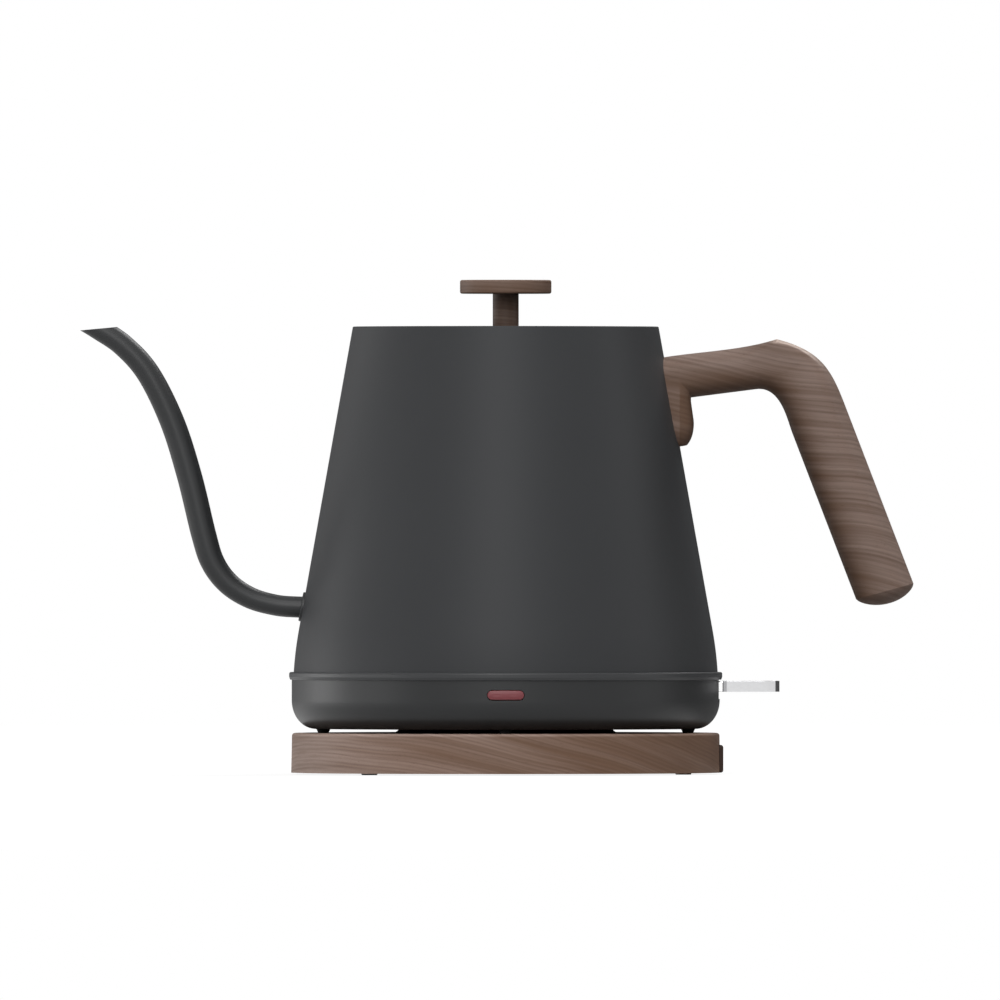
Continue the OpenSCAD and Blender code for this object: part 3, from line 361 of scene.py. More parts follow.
class Finish(Nodes):
    """A procedural material: one Principled shader, with what varies worked out from object
    coordinates."""

    def __init__(self, name, **constants):
        self.material = bpy.data.materials.new(name)
        super().__init__(self.material)
        shader = self.node("ShaderNodeBsdfPrincipled")
        self.node("ShaderNodeOutputMaterial", values={"Surface": shader})
        self.inputs = shader.socket.node.inputs
        self.set(**constants)

    def set(self, **values):
        """Values or links of the shader's sockets, with _ for the space in a socket's name."""
        for key, value in values.items():
            self.feed(self.inputs[key.replace("_", " ")], value)

    def place(self):
        """The three object coordinates, in millimetres."""
        spot = self.node("ShaderNodeTexCoord", out="Object")
        mm = self.node("ShaderNodeVectorMath", {"operation": "SCALE"}, {0: spot, "Scale": 1 / MM})
        return self.split(mm)

    def noise(self, at, cells, detail=2.0, rough=0.5):
        """Noise at a point of three coordinates, with that many cells to the millimetre."""
        scaled = [c * float(n) for c, n in zip(at, np.broadcast_to(cells, 3))]
        spot = self.node("ShaderNodeCombineXYZ", values=dict(enumerate(scaled)))
        return self.node("ShaderNodeTexNoise", {"noise_dimensions": "3D"},
                         {"Vector": spot, "Scale": 1.0, "Detail": detail, "Roughness": rough})

    def mix(self, amount, a, b):
        """Colour a at amount 0 and colour b at 1."""
        return self.node("ShaderNodeMix", {"data_type": "RGBA"}, {0: amount, 6: a, 7: b}, out=2)

    def relief(self, height, strength, depth):
        """A bump of that depth in millimetres."""
        return self.node("ShaderNodeBump", values={"Height": height, "Strength": strength,
                                                   "Distance": depth * MM})


def srgb(r, g, b):
    """Linear colour of an 8-bit screen colour."""
    c = np.array([r, g, b]) / 255
    return np.where(c <= 0.04045, c / 12.92, ((c + 0.055) / 1.055) ** 2.4)


def painted(name, tone, rough, grain=0.9, depth=0.012, level=0.17):
    """Matt powder coat or moulded plastic: an even tone with a faint cloud in it and a fine
    pebbled skin, whose grain and depth are in millimetres."""
    f = Finish(name, Specular_IOR_Level=level)
    at = f.place()
    cloud, pebble = f.noise(at, 0.03, 3), f.noise(at, 1 / grain, 3, 0.6)
    tone = np.array(tone)
    f.set(Base_Color=f.mix(cloud, tone * 0.95, tone * 1.05),
          Roughness=rough + (pebble - 0.5) * 0.06 + (cloud - 0.5) * 0.04,
          Normal=f.relief(pebble, 0.5, depth))
    return f.material


# Walnut's tones: two paler ones for painted light, brown for painted shade, and its dark
# lines; then the painted highlight colour for lit edges
WALNUT = [srgb(158, 136, 125), srgb(138, 115, 102), srgb(114, 89, 73), srgb(90, 68, 55)]
PAINTED_HIGHLIGHT = srgb(220, 197, 184)


def wood(name, sheet_at, painted_light_at, shift=(0.0, 0.0, 0.0), shade=1.0, pitch=1.4):
    """Oiled walnut. sheet_at(x, y, z) is constant on each growth sheet, in millimetres across the
    grain, and the sheets drift a little. Broad bands, growth lines every pitch, fine streaks and
    short dark pores follow them, long along x and thin across. painted_light_at(x, y, z) paints
    light and shade into the colour: it runs from 0, brown as in shade, to 1, paler where light
    falls, and on to 2 for a painted highlight on a lit edge."""
    f = Finish(name, Specular_IOR_Level=0.16)
    x, y, z = f.place()
    sheet, pale = sheet_at(x, y, z), painted_light_at(x, y, z)
    x, y, z = x + shift[0], y + shift[1], z + shift[2]
    drift = f.noise((x, y, z), (1 / 48, 1 / 40, 1 / 26), 1) - 0.5
    ripple = f.noise((x, y, z), (1 / 13, 1 / 12, 1 / 9), 1) - 0.5
    sheet = sheet + shift[2] + drift * 3.0 + ripple * 0.4

    def grain(long, wide, thick, detail, rough=0.5):
        """Noise in cells of that many millimetres along x, along y and across the sheets."""
        return f.noise((x, y, sheet), (1 / long, 1 / wide, 1 / thick), detail, rough)

    band, swing = grain(110, 60, 4.2, 2), grain(90, 50, 4.5, 2)
    wave = (sheet * (TAU / pitch) + swing * 7.0).sine() * 0.5 + 0.5
    line, streak = grain(130, 70, 1.15, 2, 0.55), grain(42, 14, 0.55, 3, 0.6)
    fibre, pore = grain(9, 0.9, 0.28, 2, 0.6), grain(5, 0.5, 0.26, 1).between(0.63, 0.76)
    palest, light, brown, darkest = [tone * shade for tone in WALNUT]
    # The ground is painted light and shade: brown where pale is 0, the paler tones as it rises to
    # 1, and the painted highlight colour above 1
    ground = f.mix(pale + (band - 0.5) * 2.4, brown, f.mix(pale, light, palest))
    ground = f.mix(pale.above(1.0), ground, PAINTED_HIGHLIGHT)
    dark = (wave * line * 0.44 + line.between(0.36, 0.76) * 0.14
            + streak.between(0.36, 0.8) * 0.26 + (fibre - 0.5) * 0.16)
    f.set(Base_Color=f.mix(pore * 0.35, f.mix(dark, ground, darkest), darkest),
          Roughness=0.52 + (streak - 0.5) * 0.12,
          Normal=f.relief(fibre * 0.5 + line * 0.5 - pore * 0.5, 0.35, 0.03))
    return f.material


def base_sheet(x, y, z):
    """Sheets that fall to the right, by a seventh at the left end of the base and by a third at
    its right end."""
    return z + x * 0.14 + (x + 75) * (x + 75) * 0.0006 + y * 0.08


def handle_sheet(x, y, z):
    """Sheets that fall to the right, by a fifth along the arm, by a tenth on the grip and by a
    fifth at its end."""
    turn, end = x.above(88), x.above(118)
    return z + x * 0.22 - turn * turn * 0.0031 + end * end * 0.0093 + y * 0.06


def knob_sheet(x, y, z):
    """Sheets that lie nearly level through the disc."""
    return z + x * 0.05 + y * 0.05


def base_painted_light(x, y, z):
    """Painted light: paler to the left, where light falls, and a painted highlight along the lit
    top edge.
    """
    return x.between(70, -95) + z.between(13.2, 14.0) * 0.5


def handle_painted_light(x, y, z):
    """Painted light and shade: paler where light falls, on the top of the arm, along the outer side
    of the grip and on the pad's sides below the arm, darker as in shade towards the arm's underside
    and the grip's inner side, and a painted highlight on the facet past the crest. The facet lies
    above a line that falls faster and faster to the right."""
    # Painted light on the grip's outer side and the arm's top, painted shade towards their
    # undersides
    lit_grip_side = (x * 0.93 + z * 0.36 - 128) * (1 / 26)
    lit_arm_top = (z - 134.5) * (1 / 12.5)
    past_crest = x.above(94.9)
    height = z + past_crest * past_crest * 0.0309 + past_crest * 0.043
    # Painted highlight on the facet past the crest
    facet = height.between(150.6, 151.1) * x.between(92.0, 95.0) * (1.0 - x.between(102, 112))
    # Painted light on the pad's flat sides
    lit_pad_side = x.between(61.2, 60.6) * z.between(137, 133) * 0.5
    return lit_grip_side.larger(lit_arm_top).between(0.0, 0.9) + lit_pad_side + facet


def knob_painted_light(x, y, z):
    """Painted light: even, and a little paler to the left, where light falls."""
    return x.between(60, -60)


def metal(name, tone, rough, brush=(0.2, 0.2, 8.0), depth=0.002):
    """Bare metal with fine drawn lines, long along the axis whose figure is the smallest."""
    f = Finish(name, Metallic=1.0)
    line = f.noise(f.place(), brush, 4, 0.7)
    tone = np.array(tone)
    f.set(Base_Color=f.mix(line, tone * 0.92, np.minimum(tone * 1.05, 1)),
          Roughness=rough + (line - 0.5) * 0.12, Normal=f.relief(line, 0.3, depth))
    return f.material


def chrome():
    """Polished plate with very fine drawn lines. Its colour is darker along the paddle's fold, a
    painted dark reflection, and near-white behind it, a painted bright reflection."""
    f = Finish("chrome", Metallic=1.0)
    x, y, z = f.place()
    line = f.noise((x, y, z), (0.3, 2.0, 2.0), 4, 0.7)
    plate = f.mix(line, (0.60, 0.60, 0.61), (0.68, 0.68, 0.69))
    # Painted dark reflection: a darker band along the paddle's fold
    plate = f.mix(x.between(LEVER_X + 1.25, LEVER_X + 1.6), (0.37, 0.37, 0.38), plate)
    # Painted bright reflection: near-white behind the fold
    f.set(Base_Color=f.mix(x.between(LEVER_X - 0.1, LEVER_X), (0.94, 0.94, 0.94), plate),
          Roughness=0.10 + (line - 0.5) * 0.08, Normal=f.relief(line, 0.3, 0.0004))
    return f.material


def window_red():
    """Dull red lamp window: clear-coated plastic, a little paler towards its top, painted light
    from above.
    """
    f = Finish("window_red", Specular_IOR_Level=0.2, Coat_Roughness=0.3)
    x, y, z = f.place()
    cloud = f.noise((x, y, z), (0.5, 0.5, 0.9), 2)
    # Painted light from above: paler towards the top
    lit_top = z.between(WINDOW_Z - 1.2, WINDOW_Z + 1.5)
    f.set(Base_Color=f.mix(lit_top * 0.5 + cloud * 0.4, srgb(130, 65, 70), srgb(144, 84, 88)),
          Roughness=0.35 + (cloud - 0.5) * 0.1, Coat_Weight=0.04 + cloud * 0.06)
    return f.material


def lamp_glass():
    """The lamp behind the window: frosted glass, unlit."""
    f = Finish("lamp_glass", Specular_IOR_Level=0.5)
    frost = f.noise(f.place(), 2.0, 3)
    f.set(Base_Color=f.mix(frost, srgb(200, 140, 100), srgb(220, 165, 125)),
          Roughness=0.3 + frost * 0.2)
    return f.material


CHARCOAL = (0.0440, 0.0455, 0.0480)
PAINT = painted("charcoal_paint", CHARCOAL, 0.50)
PLASTIC = painted("charcoal_plastic", (0.0230, 0.0239, 0.0249), 0.42, 0.7, 0.004, 0.27)
TRIM = painted("trim_paint", CHARCOAL, 0.42, 0.7, 0.005, 0.3)
SPOUT_PAINT = painted("spout_paint", (0.0270, 0.0280, 0.0292), 0.42, 0.9, 0.006, 0.3)
BLACK = painted("black_plastic", (0.010, 0.010, 0.011), 0.42, 0.6, 0.008, 0.15)
RUBBER = painted("black_rubber", (0.012, 0.012, 0.012), 0.7, 0.5, 0.01, 0.12)
GLAND = painted("dark_brown_plastic", srgb(62, 47, 41), 0.45, 0.6, 0.008, 0.15)
SILICONE = painted("silicone", srgb(196, 192, 184), 0.55, 1.2, 0.006, 0.4)
BASE_WOOD = wood("base_walnut", base_sheet, base_painted_light, shade=1.3)
HANDLE_WOOD = wood("handle_walnut", handle_sheet, handle_painted_light, (31.0, 17.0, 6.0), 0.9, 1.9)
KNOB_WOOD = wood("knob_walnut", knob_sheet, knob_painted_light, (-90.0, 40.0, 3.0), 0.93)
# The stem's walnut is the knob's darkened by half: painted shade, as under the knob's disc
SHADED_STEM_WOOD = wood("stem_walnut_shaded", knob_sheet, knob_painted_light, (-90.0, 40.0, 3.0), 0.5)
STEEL = metal("steel", (0.55, 0.55, 0.56), 0.32)
ALUMINIUM = metal("aluminium", (0.62, 0.62, 0.63), 0.45)
BRASS = metal("brass", (0.62, 0.44, 0.20), 0.34)
CHROME, WINDOW, LAMP = chrome(), window_red(), lamp_glass()

# The frame's own nodes that stay get the finish of their slot
BY_SLOT = {"wood_grain": BASE_WOOD, "charcoal_paint": PAINT, "charcoal_plastic": PLASTIC,
           "black_plastic": BLACK, "dark_brown_plastic": GLAND, "black_rubber": RUBBER,
           "steel": STEEL, "aluminium": ALUMINIUM, "brass": BRASS, "silicone": SILICONE,
           "chrome": CHROME, "window_red": WINDOW, "lamp_glass": LAMP}
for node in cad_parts.values():
    for held in node.material_slots:
        held.material = BY_SLOT[held.material.name.split(".")[0]]

# ---------------------------------------------------------------- the power base


def base_shell():
    """The wooden shell: a turned sheet from its lower edge up the leaning side, over the rounded
    top edge and inwards to the connector's neck, with the notch that the cord outlet sits in."""
    profile = rounded([(BASE_R, BASE_Z, 0), (BASE_TOP_R, BASE_TOP_Z, 1.0),
                       (BASE_NECK_R, BASE_TOP_Z, 0)], steps=8)
    notch = math.asin(NOTCH_HALF / BASE_R)
    points, keep = pierced(profile, ring_angles(256, [(0.0, notch, notch / 4)]),
                           slots=[(0.0, notch, 0.0, along(profile, z=NOTCH_Z))])
    piece("base_cover_skin", "base", "base_cover", BASE_WOOD, [skin(points, keep)],
          BASE_WALL)


def cord_outlet():
    """The cord outlet: rounded rectangles in y and z carried along x, rounded over at the front,
    and narrowed there to the circle of the cord's bore, which runs back through the block."""
    a = around(96) + TAU / 8
    c, s = np.cos(a), np.sin(a)
    middle = BASE_Z + OUTLET_H / 2

    def loop(x, inset=0.0):
        """|y|, |z| <= half sizes less the inset, as the outline of a box grown by the corner's
        radius, which is the rounding less the inset."""
        half = np.array([OUTLET_W / 2, OUTLET_H / 2]) - inset
        r = max(OUTLET_ROUND - inset, 0.05)
        k = np.minimum(half[0] / np.maximum(np.abs(c), 1e-6),
                       half[1] / np.maximum(np.abs(s), 1e-6))
        flat = np.stack([c * k, s * k])
        core = np.clip(flat, r - half[:, None], half[:, None] - r)
        off = flat - core
        y, z = core + off / np.maximum(np.linalg.norm(off, axis=0), 1e-9) * r
        return np.stack([np.full_like(a, x), y, z + middle], -1)

    def circle(x, r):
        """A circle round the bore's axis."""
        return np.stack([np.full_like(a, x), r * c, r * s + middle], -1)

    # The sides, the rounding from them to the front, and the bore as (x, radius) with its sleeve
    rounding, t = 75.25, np.linspace(0, math.pi / 2, 6)
    bore = [(76.15, 4.1), (76.15, 3.9), (76.05, 3.6), (75.75, 3.35), (61.4, 3.3), (61.4, 4.6),
            (68.5, 4.6)]
    rows = [loop(71.9), loop(75.0)]
    rows += [loop(rounding + OUTLET_ROUND * math.sin(k), OUTLET_ROUND * (1 - math.cos(k)))
             for k in t]
    rows += [circle(x, r) for x, r in bore] + [loop(71.6, 0.2)]
    piece("cord_outlet", "base", "cord_gland", GLAND,
          [skin(np.array(rows)[:, ::-1], round_rows=True)], sharp=40, turn_over=True)


base_shell()
cord_outlet()

# ---------------------------------------------------------------- the vessel, its trim and housing


def vessel():
    """The vessel is one bent sheet: up the flared and straight wall, over the rolled rim, down
    into the lid's seat and the collar below it, with the hole that the spout is fitted in."""
    roll, collar = 0.6, 5.6  # heights of the rim's roll and of the collar
    z = np.concatenate([np.linspace(VESSEL_Z, FLARE_Z, 18),
                        np.linspace(FLARE_Z, RIM_Z - roll, 30)[1:]])
    wall = np.stack([wall_r(z), z], 1)
    rim = rounded([(*wall[-1], 0), (RIM_R, RIM_Z, 0.45), (SEAT_R, RIM_Z, 0.25),
                   (SEAT_R, LID_Z, 0.2), (MOUTH_R, LID_Z, 0.4), (MOUTH_R, LID_Z - collar, 0)],
                  steps=5, hold=0.1)
    profile = np.vstack([wall, rim[1:]])
    fine = [(LEFT, 0.068, 0.0045)]  # across the spout's hole
    points, keep = pierced(profile, ring_angles(240, fine),
                           rounds=[(LEFT, along(profile, z=SPOUT_Z), 0.0, SPOUT_HOLE_R)])
    piece("vessel_skin", "kettle", "vessel", PAINT, [skin(points, keep)],
          VESSEL_WALL, sharp=40)


def trim():
    """The trim ring: a closed turned section, rounded over at the top and drawn in a little
    below."""
    inner_r, flat_r = 71.4, 73.0
    edge = rounded([(flat_r, TRIM_Z, 0), (TRIM_R - 0.35, TRIM_Z, 0.3), (TRIM_R, TRIM_Z + 1.0, 0.5),
                    (TRIM_R, VESSEL_Z, 0.65), (flat_r, VESSEL_Z, 0)], steps=8, hold=0.05)
    points = turned(np.vstack([[(inner_r, TRIM_Z)], edge, [(inner_r, VESSEL_Z)]]), ring_angles(240))
    piece("trim_ring_skin", "kettle", "trim_ring", TRIM,
          [skin(points, round_rows=True)], sharp=50)


def housing():
    """The lower housing: a turned sheet out along the floor, round the elliptical corner and up
    the wall, with the lever's slot, the lamp's window and the screw holes left open."""
    t = np.radians(np.linspace(-90, 0, 25))
    across, up = 8.4, 10
    corner = np.stack([HOUSING_R - across + across * np.cos(t), HOUSING_Z + up + up * np.sin(t)], 1)
    hole_r, recess_r, recess = 26.2, 40.5, 1
    floor = rounded([(hole_r, HOUSING_Z + recess, 0), (recess_r, HOUSING_Z + recess, 0.3),
                     (recess_r + 0.4, HOUSING_Z, 0.3), (60.0, HOUSING_Z, 0)], steps=4, hold=0.1)
    profile = np.vstack([floor, corner, [(HOUSING_R, 29.5), (HOUSING_R, TRIM_Z)]])
    slot = math.asin(SLOT_HALF / HOUSING_R)
    fine = [(FRONT, 0.12, 0.0045), (0.0, slot, slot / 6)]
    fine += [(a, 0.08, 0.0065) for a in SCREW_ANGLES]
    window = (FRONT, along(profile, z=WINDOW_Z), (WINDOW_L - WINDOW_H) / 2, WINDOW_H / 2 + 0.22)
    screws = [(a, along(profile, r=SCREWS_R), 0.0, SCREW_HOLE_R) for a in SCREW_ANGLES]
    points, keep = pierced(profile, ring_angles(240, fine), rounds=[window] + screws,
                           slots=[(0.0, slot, along(profile, z=SLOT_Z), 1e3)])
    piece("lower_housing_skin", "kettle", "lower_housing", PLASTIC,
          [skin(points, keep)], HOUSING_WALL, sharp=38)


def lens():
    """The lamp's window: pill outlines that follow the housing's curve, rounded over at the edge
    and crowned by a tenth of a millimetre."""
    a = around(96)
    half, crown, edge = (WINDOW_L - WINDOW_H) / 2, 0.1, 0.35

    def loop(inset, proud):
        """The pill drawn in by the inset, standing proud of the housing's wall."""
        r = WINDOW_H / 2 - inset
        x = half * np.sign(np.cos(a)) * np.minimum(1, np.abs(np.cos(a)) * 4) + r * np.cos(a)
        z = WINDOW_Z + r * np.sin(a)
        return np.stack([x, -np.sqrt((HOUSING_R + proud) ** 2 - x ** 2), z], -1)

    # The side, its rounded edge and the crown
    rows = [loop(0.0, -2.4), loop(0.0, -0.4)]
    rows += [loop(edge * (1 - math.cos(k)), -0.25 + 0.3 * math.sin(k))
             for k in np.linspace(0, math.pi / 2, 7)]
    rows += [loop(edge + 1.25 * k, 0.05 + crown * math.sin(k * math.pi / 2))
             for k in (0.3, 0.6, 0.85)]
    top = (0, -HOUSING_R - 0.05 - crown, WINDOW_Z)
    piece("indicator_window", "kettle", "indicator_lens", WINDOW,
          [skin(np.array(rows), tips=("flat", top))], sharp=50)


def lever():
    """The switch lever. Paddle: its plan outline, a bar with a rounded tip, carried up through z
    with its edges rounded over. Neck and arm: two narrower bars, forward from the pin and back to
    the pushrod. Hub: a turned sleeve round the pin, along y."""

    def plan(x0, x1, half, tip=0.3, steps=6, hold=0.05):
        """A bar's outline from above, with its far corners rounded by tip."""
        return rounded([(x0, half, 0.3), (x1, half, tip), (x1, -half, tip), (x0, -half, 0.3)],
                       closed=True, steps=steps, hold=hold)

    def bar(outline, half, soft, hold=0.05):
        """The outline drawn in by soft at its edges, which turn on quarter arcs."""
        ahead, behind = np.roll(outline, -1, 0) - outline, outline - np.roll(outline, 1, 0)
        run = unit(unit(ahead) + unit(behind))
        inward = np.stack([run[:, 1], -run[:, 0]], 1)
        t = np.linspace(0, math.pi / 2, 7)
        inset, lift = soft * (1 - np.cos(t)), half - soft + soft * np.sin(t)
        inset = np.concatenate([inset[::-1], [0, 0], inset])
        lift = np.concatenate([-lift[::-1], [hold - half + soft, half - soft - hold], lift])
        flat = outline + inset[:, None, None] * inward
        z = LEVER_Z + lift[:, None] * np.ones(len(outline))
        return skin(np.dstack([flat, z])[:, ::-1], tips=("flat", "flat"))

    a = around(48)
    pin_r, hub_r, hub_half = 1.56, 3.2, 5.0
    r, y = rounded([(pin_r, -hub_half, 0), (hub_r, -hub_half, 0.3), (hub_r, hub_half, 0.3),
                    (pin_r, hub_half, 0)], steps=4, hold=0.1).T
    hub = np.stack([PIN_X + np.outer(r, np.cos(a)), np.outer(y, np.ones_like(a)),
                    LEVER_Z + np.outer(r, np.sin(a))], -1)
    paddle = bar(plan(LEVER_X, LEVER_TIP, LEVER_W / 2, 5.0, 12, 0.1), LEVER_T / 2, 0.06)
    neck = bar(plan(PIN_X, LEVER_X + 2, 5.0), LEVER_T / 2 - 0.1, 0.3)
    arm = bar(plan(ARM_X, PIN_X, 3.0), 1.6, 0.3)
    piece("switch_paddle", "lever", "switch_lever", CHROME,
          [paddle, neck, arm, skin(hub, round_rows=True)], sharp=50)


vessel()
trim()
housing()
lens()
lever()

# ---------------------------------------------------------------- spout

# The spout's middle line in x and z: its root on the wall, and the steps away from it
SPOUT_ROOT = np.array([-float(wall_r(SPOUT_Z)), SPOUT_Z])
SPOUT_STEPS = np.array([[3.5, 0], [-2, -0.05], [-9.64, 0.62], [-18.42, 3.16], [-26.04, 8.1],
                        [-31.45, 15.33], [-34.66, 25.02], [-39.67, 45.56], [-45.76, 64.78],
                        [-54.07, 81.58], [-62.92, 91.51], [-71.68, 97.44], [-76.3, 100.24]])
SPOUT_LAST = len(SPOUT_STEPS) - 1

# The plane that cuts the mouth: one point on it, its slope, and the step from which it counts
MOUTH_AT, MOUTH_SLOPE, MOUTH_STEP = SPOUT_ROOT + [-70, 97.5], math.tan(math.radians(5.3)), 6


def spout_line(s):
    """The middle line at step s: each cubic passes through its two middle points, with half the
    chord of their neighbours as its slope."""
    i = np.minimum(np.floor(s).astype(int), SPOUT_LAST - 1)
    t = (s - i)[:, None]
    a, b, c, d = [SPOUT_STEPS[np.clip(i + k, 0, SPOUT_LAST)] for k in (-1, 0, 1, 2)]
    return SPOUT_ROOT + 0.5 * (2 * b + (c - a) * t + (2 * a - 5 * b + 4 * c - d) * t ** 2
                               + (3 * b - a - 3 * c + d) * t ** 3)


def spout():
    """The spout: circles of slowly changing size carried along the middle line, square to it. Past
    the mouth's sloping plane each point is drawn back along the tube onto it."""
    s = np.linspace(0.03, SPOUT_LAST - 0.03, 241)
    c = spout_line(s)
    d = unit(spout_line(s + 0.02) - spout_line(s - 0.02))
    # The diameter swells from 0.15 to 0.55 of the way, and slims from there to 0.95
    u = s / SPOUT_LAST
    swell, slim = [(1 - np.cos(math.pi * np.clip((u - start) / 0.4, 0, 1))) / 2
                   for start in (0.15, 0.55)]
    radius = (7.4 + 1.4 * swell - 1.1 * slim) / 2
    a = around(64)

    def tube(r):
        """The circles of radius r, cut by the mouth's plane."""
        x = c[:, :1] - d[:, 1:] * np.outer(r, np.cos(a))
        z = c[:, 1:] + d[:, :1] * np.outer(r, np.cos(a))
        over = z - MOUTH_AT[1] - (x - MOUTH_AT[0]) * MOUTH_SLOPE
        cut = (over > 0) & (s > MOUTH_STEP)[:, None]
        back = np.where(cut, over / (d[:, 1:] - d[:, :1] * MOUTH_SLOPE), 0)
        return np.stack([x - d[:, :1] * back, np.outer(r, np.sin(a)), z - d[:, 1:] * back], -1)

    points = np.vstack([tube(radius), tube(radius - SPOUT_WALL)[::-1]])
    piece("spout_tube", "kettle", "spout", SPOUT_PAINT,
          [skin(points, round_rows=True)], sharp=40)


def spout_collar():
    """The collar: a small rounded ring turned on the wall's own normal at the spout's root."""
    outer_r, inner_r, foot = 5.15, 3.72, -0.5
    r, h = rounded([(outer_r, foot, 0), (outer_r, 0.75, 0.35), (inner_r, 0.8, 0.1),
                    (inner_r, foot, 0)], steps=6, hold=0.05).T
    a = around(72)
    normal = np.array([-math.cos(LEAN), 0, math.sin(LEAN)])
    up = np.array([math.sin(LEAN), 0, math.cos(LEAN)])
    points = (np.array([SPOUT_ROOT[0], 0, SPOUT_ROOT[1]]) + h[:, None, None] * normal
              + np.outer(r, np.cos(a))[..., None] * np.array([0, 1, 0])
              + np.outer(r, np.sin(a))[..., None] * up)
    piece("spout_root_collar", "kettle", "spout_collar", SPOUT_PAINT,
          [skin(points, round_rows=True)], sharp=50)


spout()
spout_collar()

# ---------------------------------------------------------------- handle

# The handle's outer and inner guides in x and z, from its root: arm, crest and grip, each a cubic
# Bezier curve
HANDLE_ROOT = np.array([float(wall_r(HANDLE_Z)), HANDLE_Z])
OUTER = np.array([[[-5, -0.95], [9.7, 2.09], [25.1, 1.77], [39.46, 6.29]],
                  [[39.46, 6.29], [56.92, 1.83], [59.25, -6.13], [65.04, -21.2]],
                  [[65.04, -21.2], [72.46, -40.53], [79.88, -59.87], [87.3, -79.2]]])
INNER = np.array([[[-4, -15.86], [8.07, -14.31], [20.13, -12.77], [32.2, -11.22]],
                  [[32.2, -11.22], [40.8, -10.12], [43.02, -21.7], [44.98, -26.8]],
                  [[44.98, -26.8], [52.38, -46.1], [59.79, -65.4], [67.2, -84.7]]])
SIDES = around(112)

# The arm's width, what the grip is wider by, the powers of a soft and a crisp section, and the
# facet's depth
ARM_WIDTH, GRIP_WIDER, SOFT, CRISP, FACET = 22, 4, 2.5, 5.5, 1.4

# The pad: its foot, the bend where its rounded end starts, that end's height, and x of its sides'
# front edge. Its faces end a little inside the vessel's wall
PAD_FOOT, PAD_BEND, PAD_ROUND, PAD_X, INTO_WALL = 114.2, 122.6, 8.6, 60.97, -0.12


def ease(u, low, high):
    """0 at low, 1 at high, and smooth in between."""
    t = np.clip((u - low) / (high - low), 0, 1)
    return t * t * (3 - 2 * t)


def guides(u):
    """Points of the handle's outer and inner guide at u = 0 to 3, on stretch floor(u)."""
    i = np.minimum(np.floor(u).astype(int), 2)
    t = (u - i)[..., None]
    weight = [(1 - t) ** 3, 3 * (1 - t) ** 2 * t, 3 * (1 - t) * t ** 2, t ** 3]
    return [HANDLE_ROOT + sum(w * g[i, k] for k, w in enumerate(weight)) for g in (OUTER, INNER)]


def section(u, a, shrink=1.0, shift=0.0):
    """The handle's section at u: a superellipse between the two guides. Its back half turns from
    soft to crisp shoulders past the crest, where the power of the superellipse rises, and back to
    soft on the grip. A plane that leans 30 degrees off the outward direction cuts a narrow facet
    into those shoulders."""
    outer, inner = guides(u)
    width = ARM_WIDTH + GRIP_WIDER * (1 - np.cos(math.pi * np.clip(u - 0.8, 0, 1))) / 2
    # Soft up to u = 0.72, crisp from 0.98 to 1.1, and soft again from 2.05
    crisp = ease(np.clip((u - 0.72) / 0.26, 0, 1) * np.clip((2.05 - u) / 0.95, 0, 1), 0, 1)
    power = np.where(np.sin(a) > 0, SOFT + (CRISP - SOFT) * crisp, SOFT)
    c = np.sign(np.cos(a)) * np.abs(np.cos(a)) ** (2 / power)
    s = np.sign(np.sin(a)) * np.abs(np.sin(a)) ** (2 / power)
    middle, half = (outer + inner) / 2 + shift, (outer - inner) / 2
    depth, side = np.linalg.norm(half, axis=-1), width / 2
    out, across = 0.866, 0.5  # the plane's normal
    facet = FACET * ease(u, 0.93, 1.06) * (1 - ease(u, 1.22, 1.62))
    over = np.maximum(0, out * (s - 1) * depth + across * (np.abs(c) - 1) * side + facet)
    s, c = s - out * over / depth, c - np.sign(c) * across * over / side
    at = middle + half * (shrink * s)[..., None]
    return np.stack([at[..., 0], -shrink * side * c, at[..., 1]], -1)


def on_wall(y, z, lift=0.0):
    """x where a point at y and z lies on the vessel's wall."""
    return np.sqrt((wall_r(z) + lift) ** 2 - y ** 2)


def handle_bar():
    """The bar: each side line of the section starts where it leaves the vessel's wall and runs to
    the grip's end. The start is read off a dense table of the line's distance from the wall."""
    dense = np.linspace(0, 0.6, 400)
    u, a = np.meshgrid(dense, SIDES, indexing="ij")
    p = section(u, a)
    out = p[..., 0] - on_wall(p[..., 1], p[..., 2], -0.15)
    start = dense[np.argmax(out > 0, axis=0)]
    arm = start + (1 - start) * np.linspace(0, 1, 30)[:, None]
    rest = [np.tile(part[1:, None], len(SIDES)) for part in (np.linspace(1, 2, 49),
                                                             np.linspace(2, 3, 25))]
    u = np.vstack([arm] + rest)
    return section(u, np.broadcast_to(SIDES, u.shape))


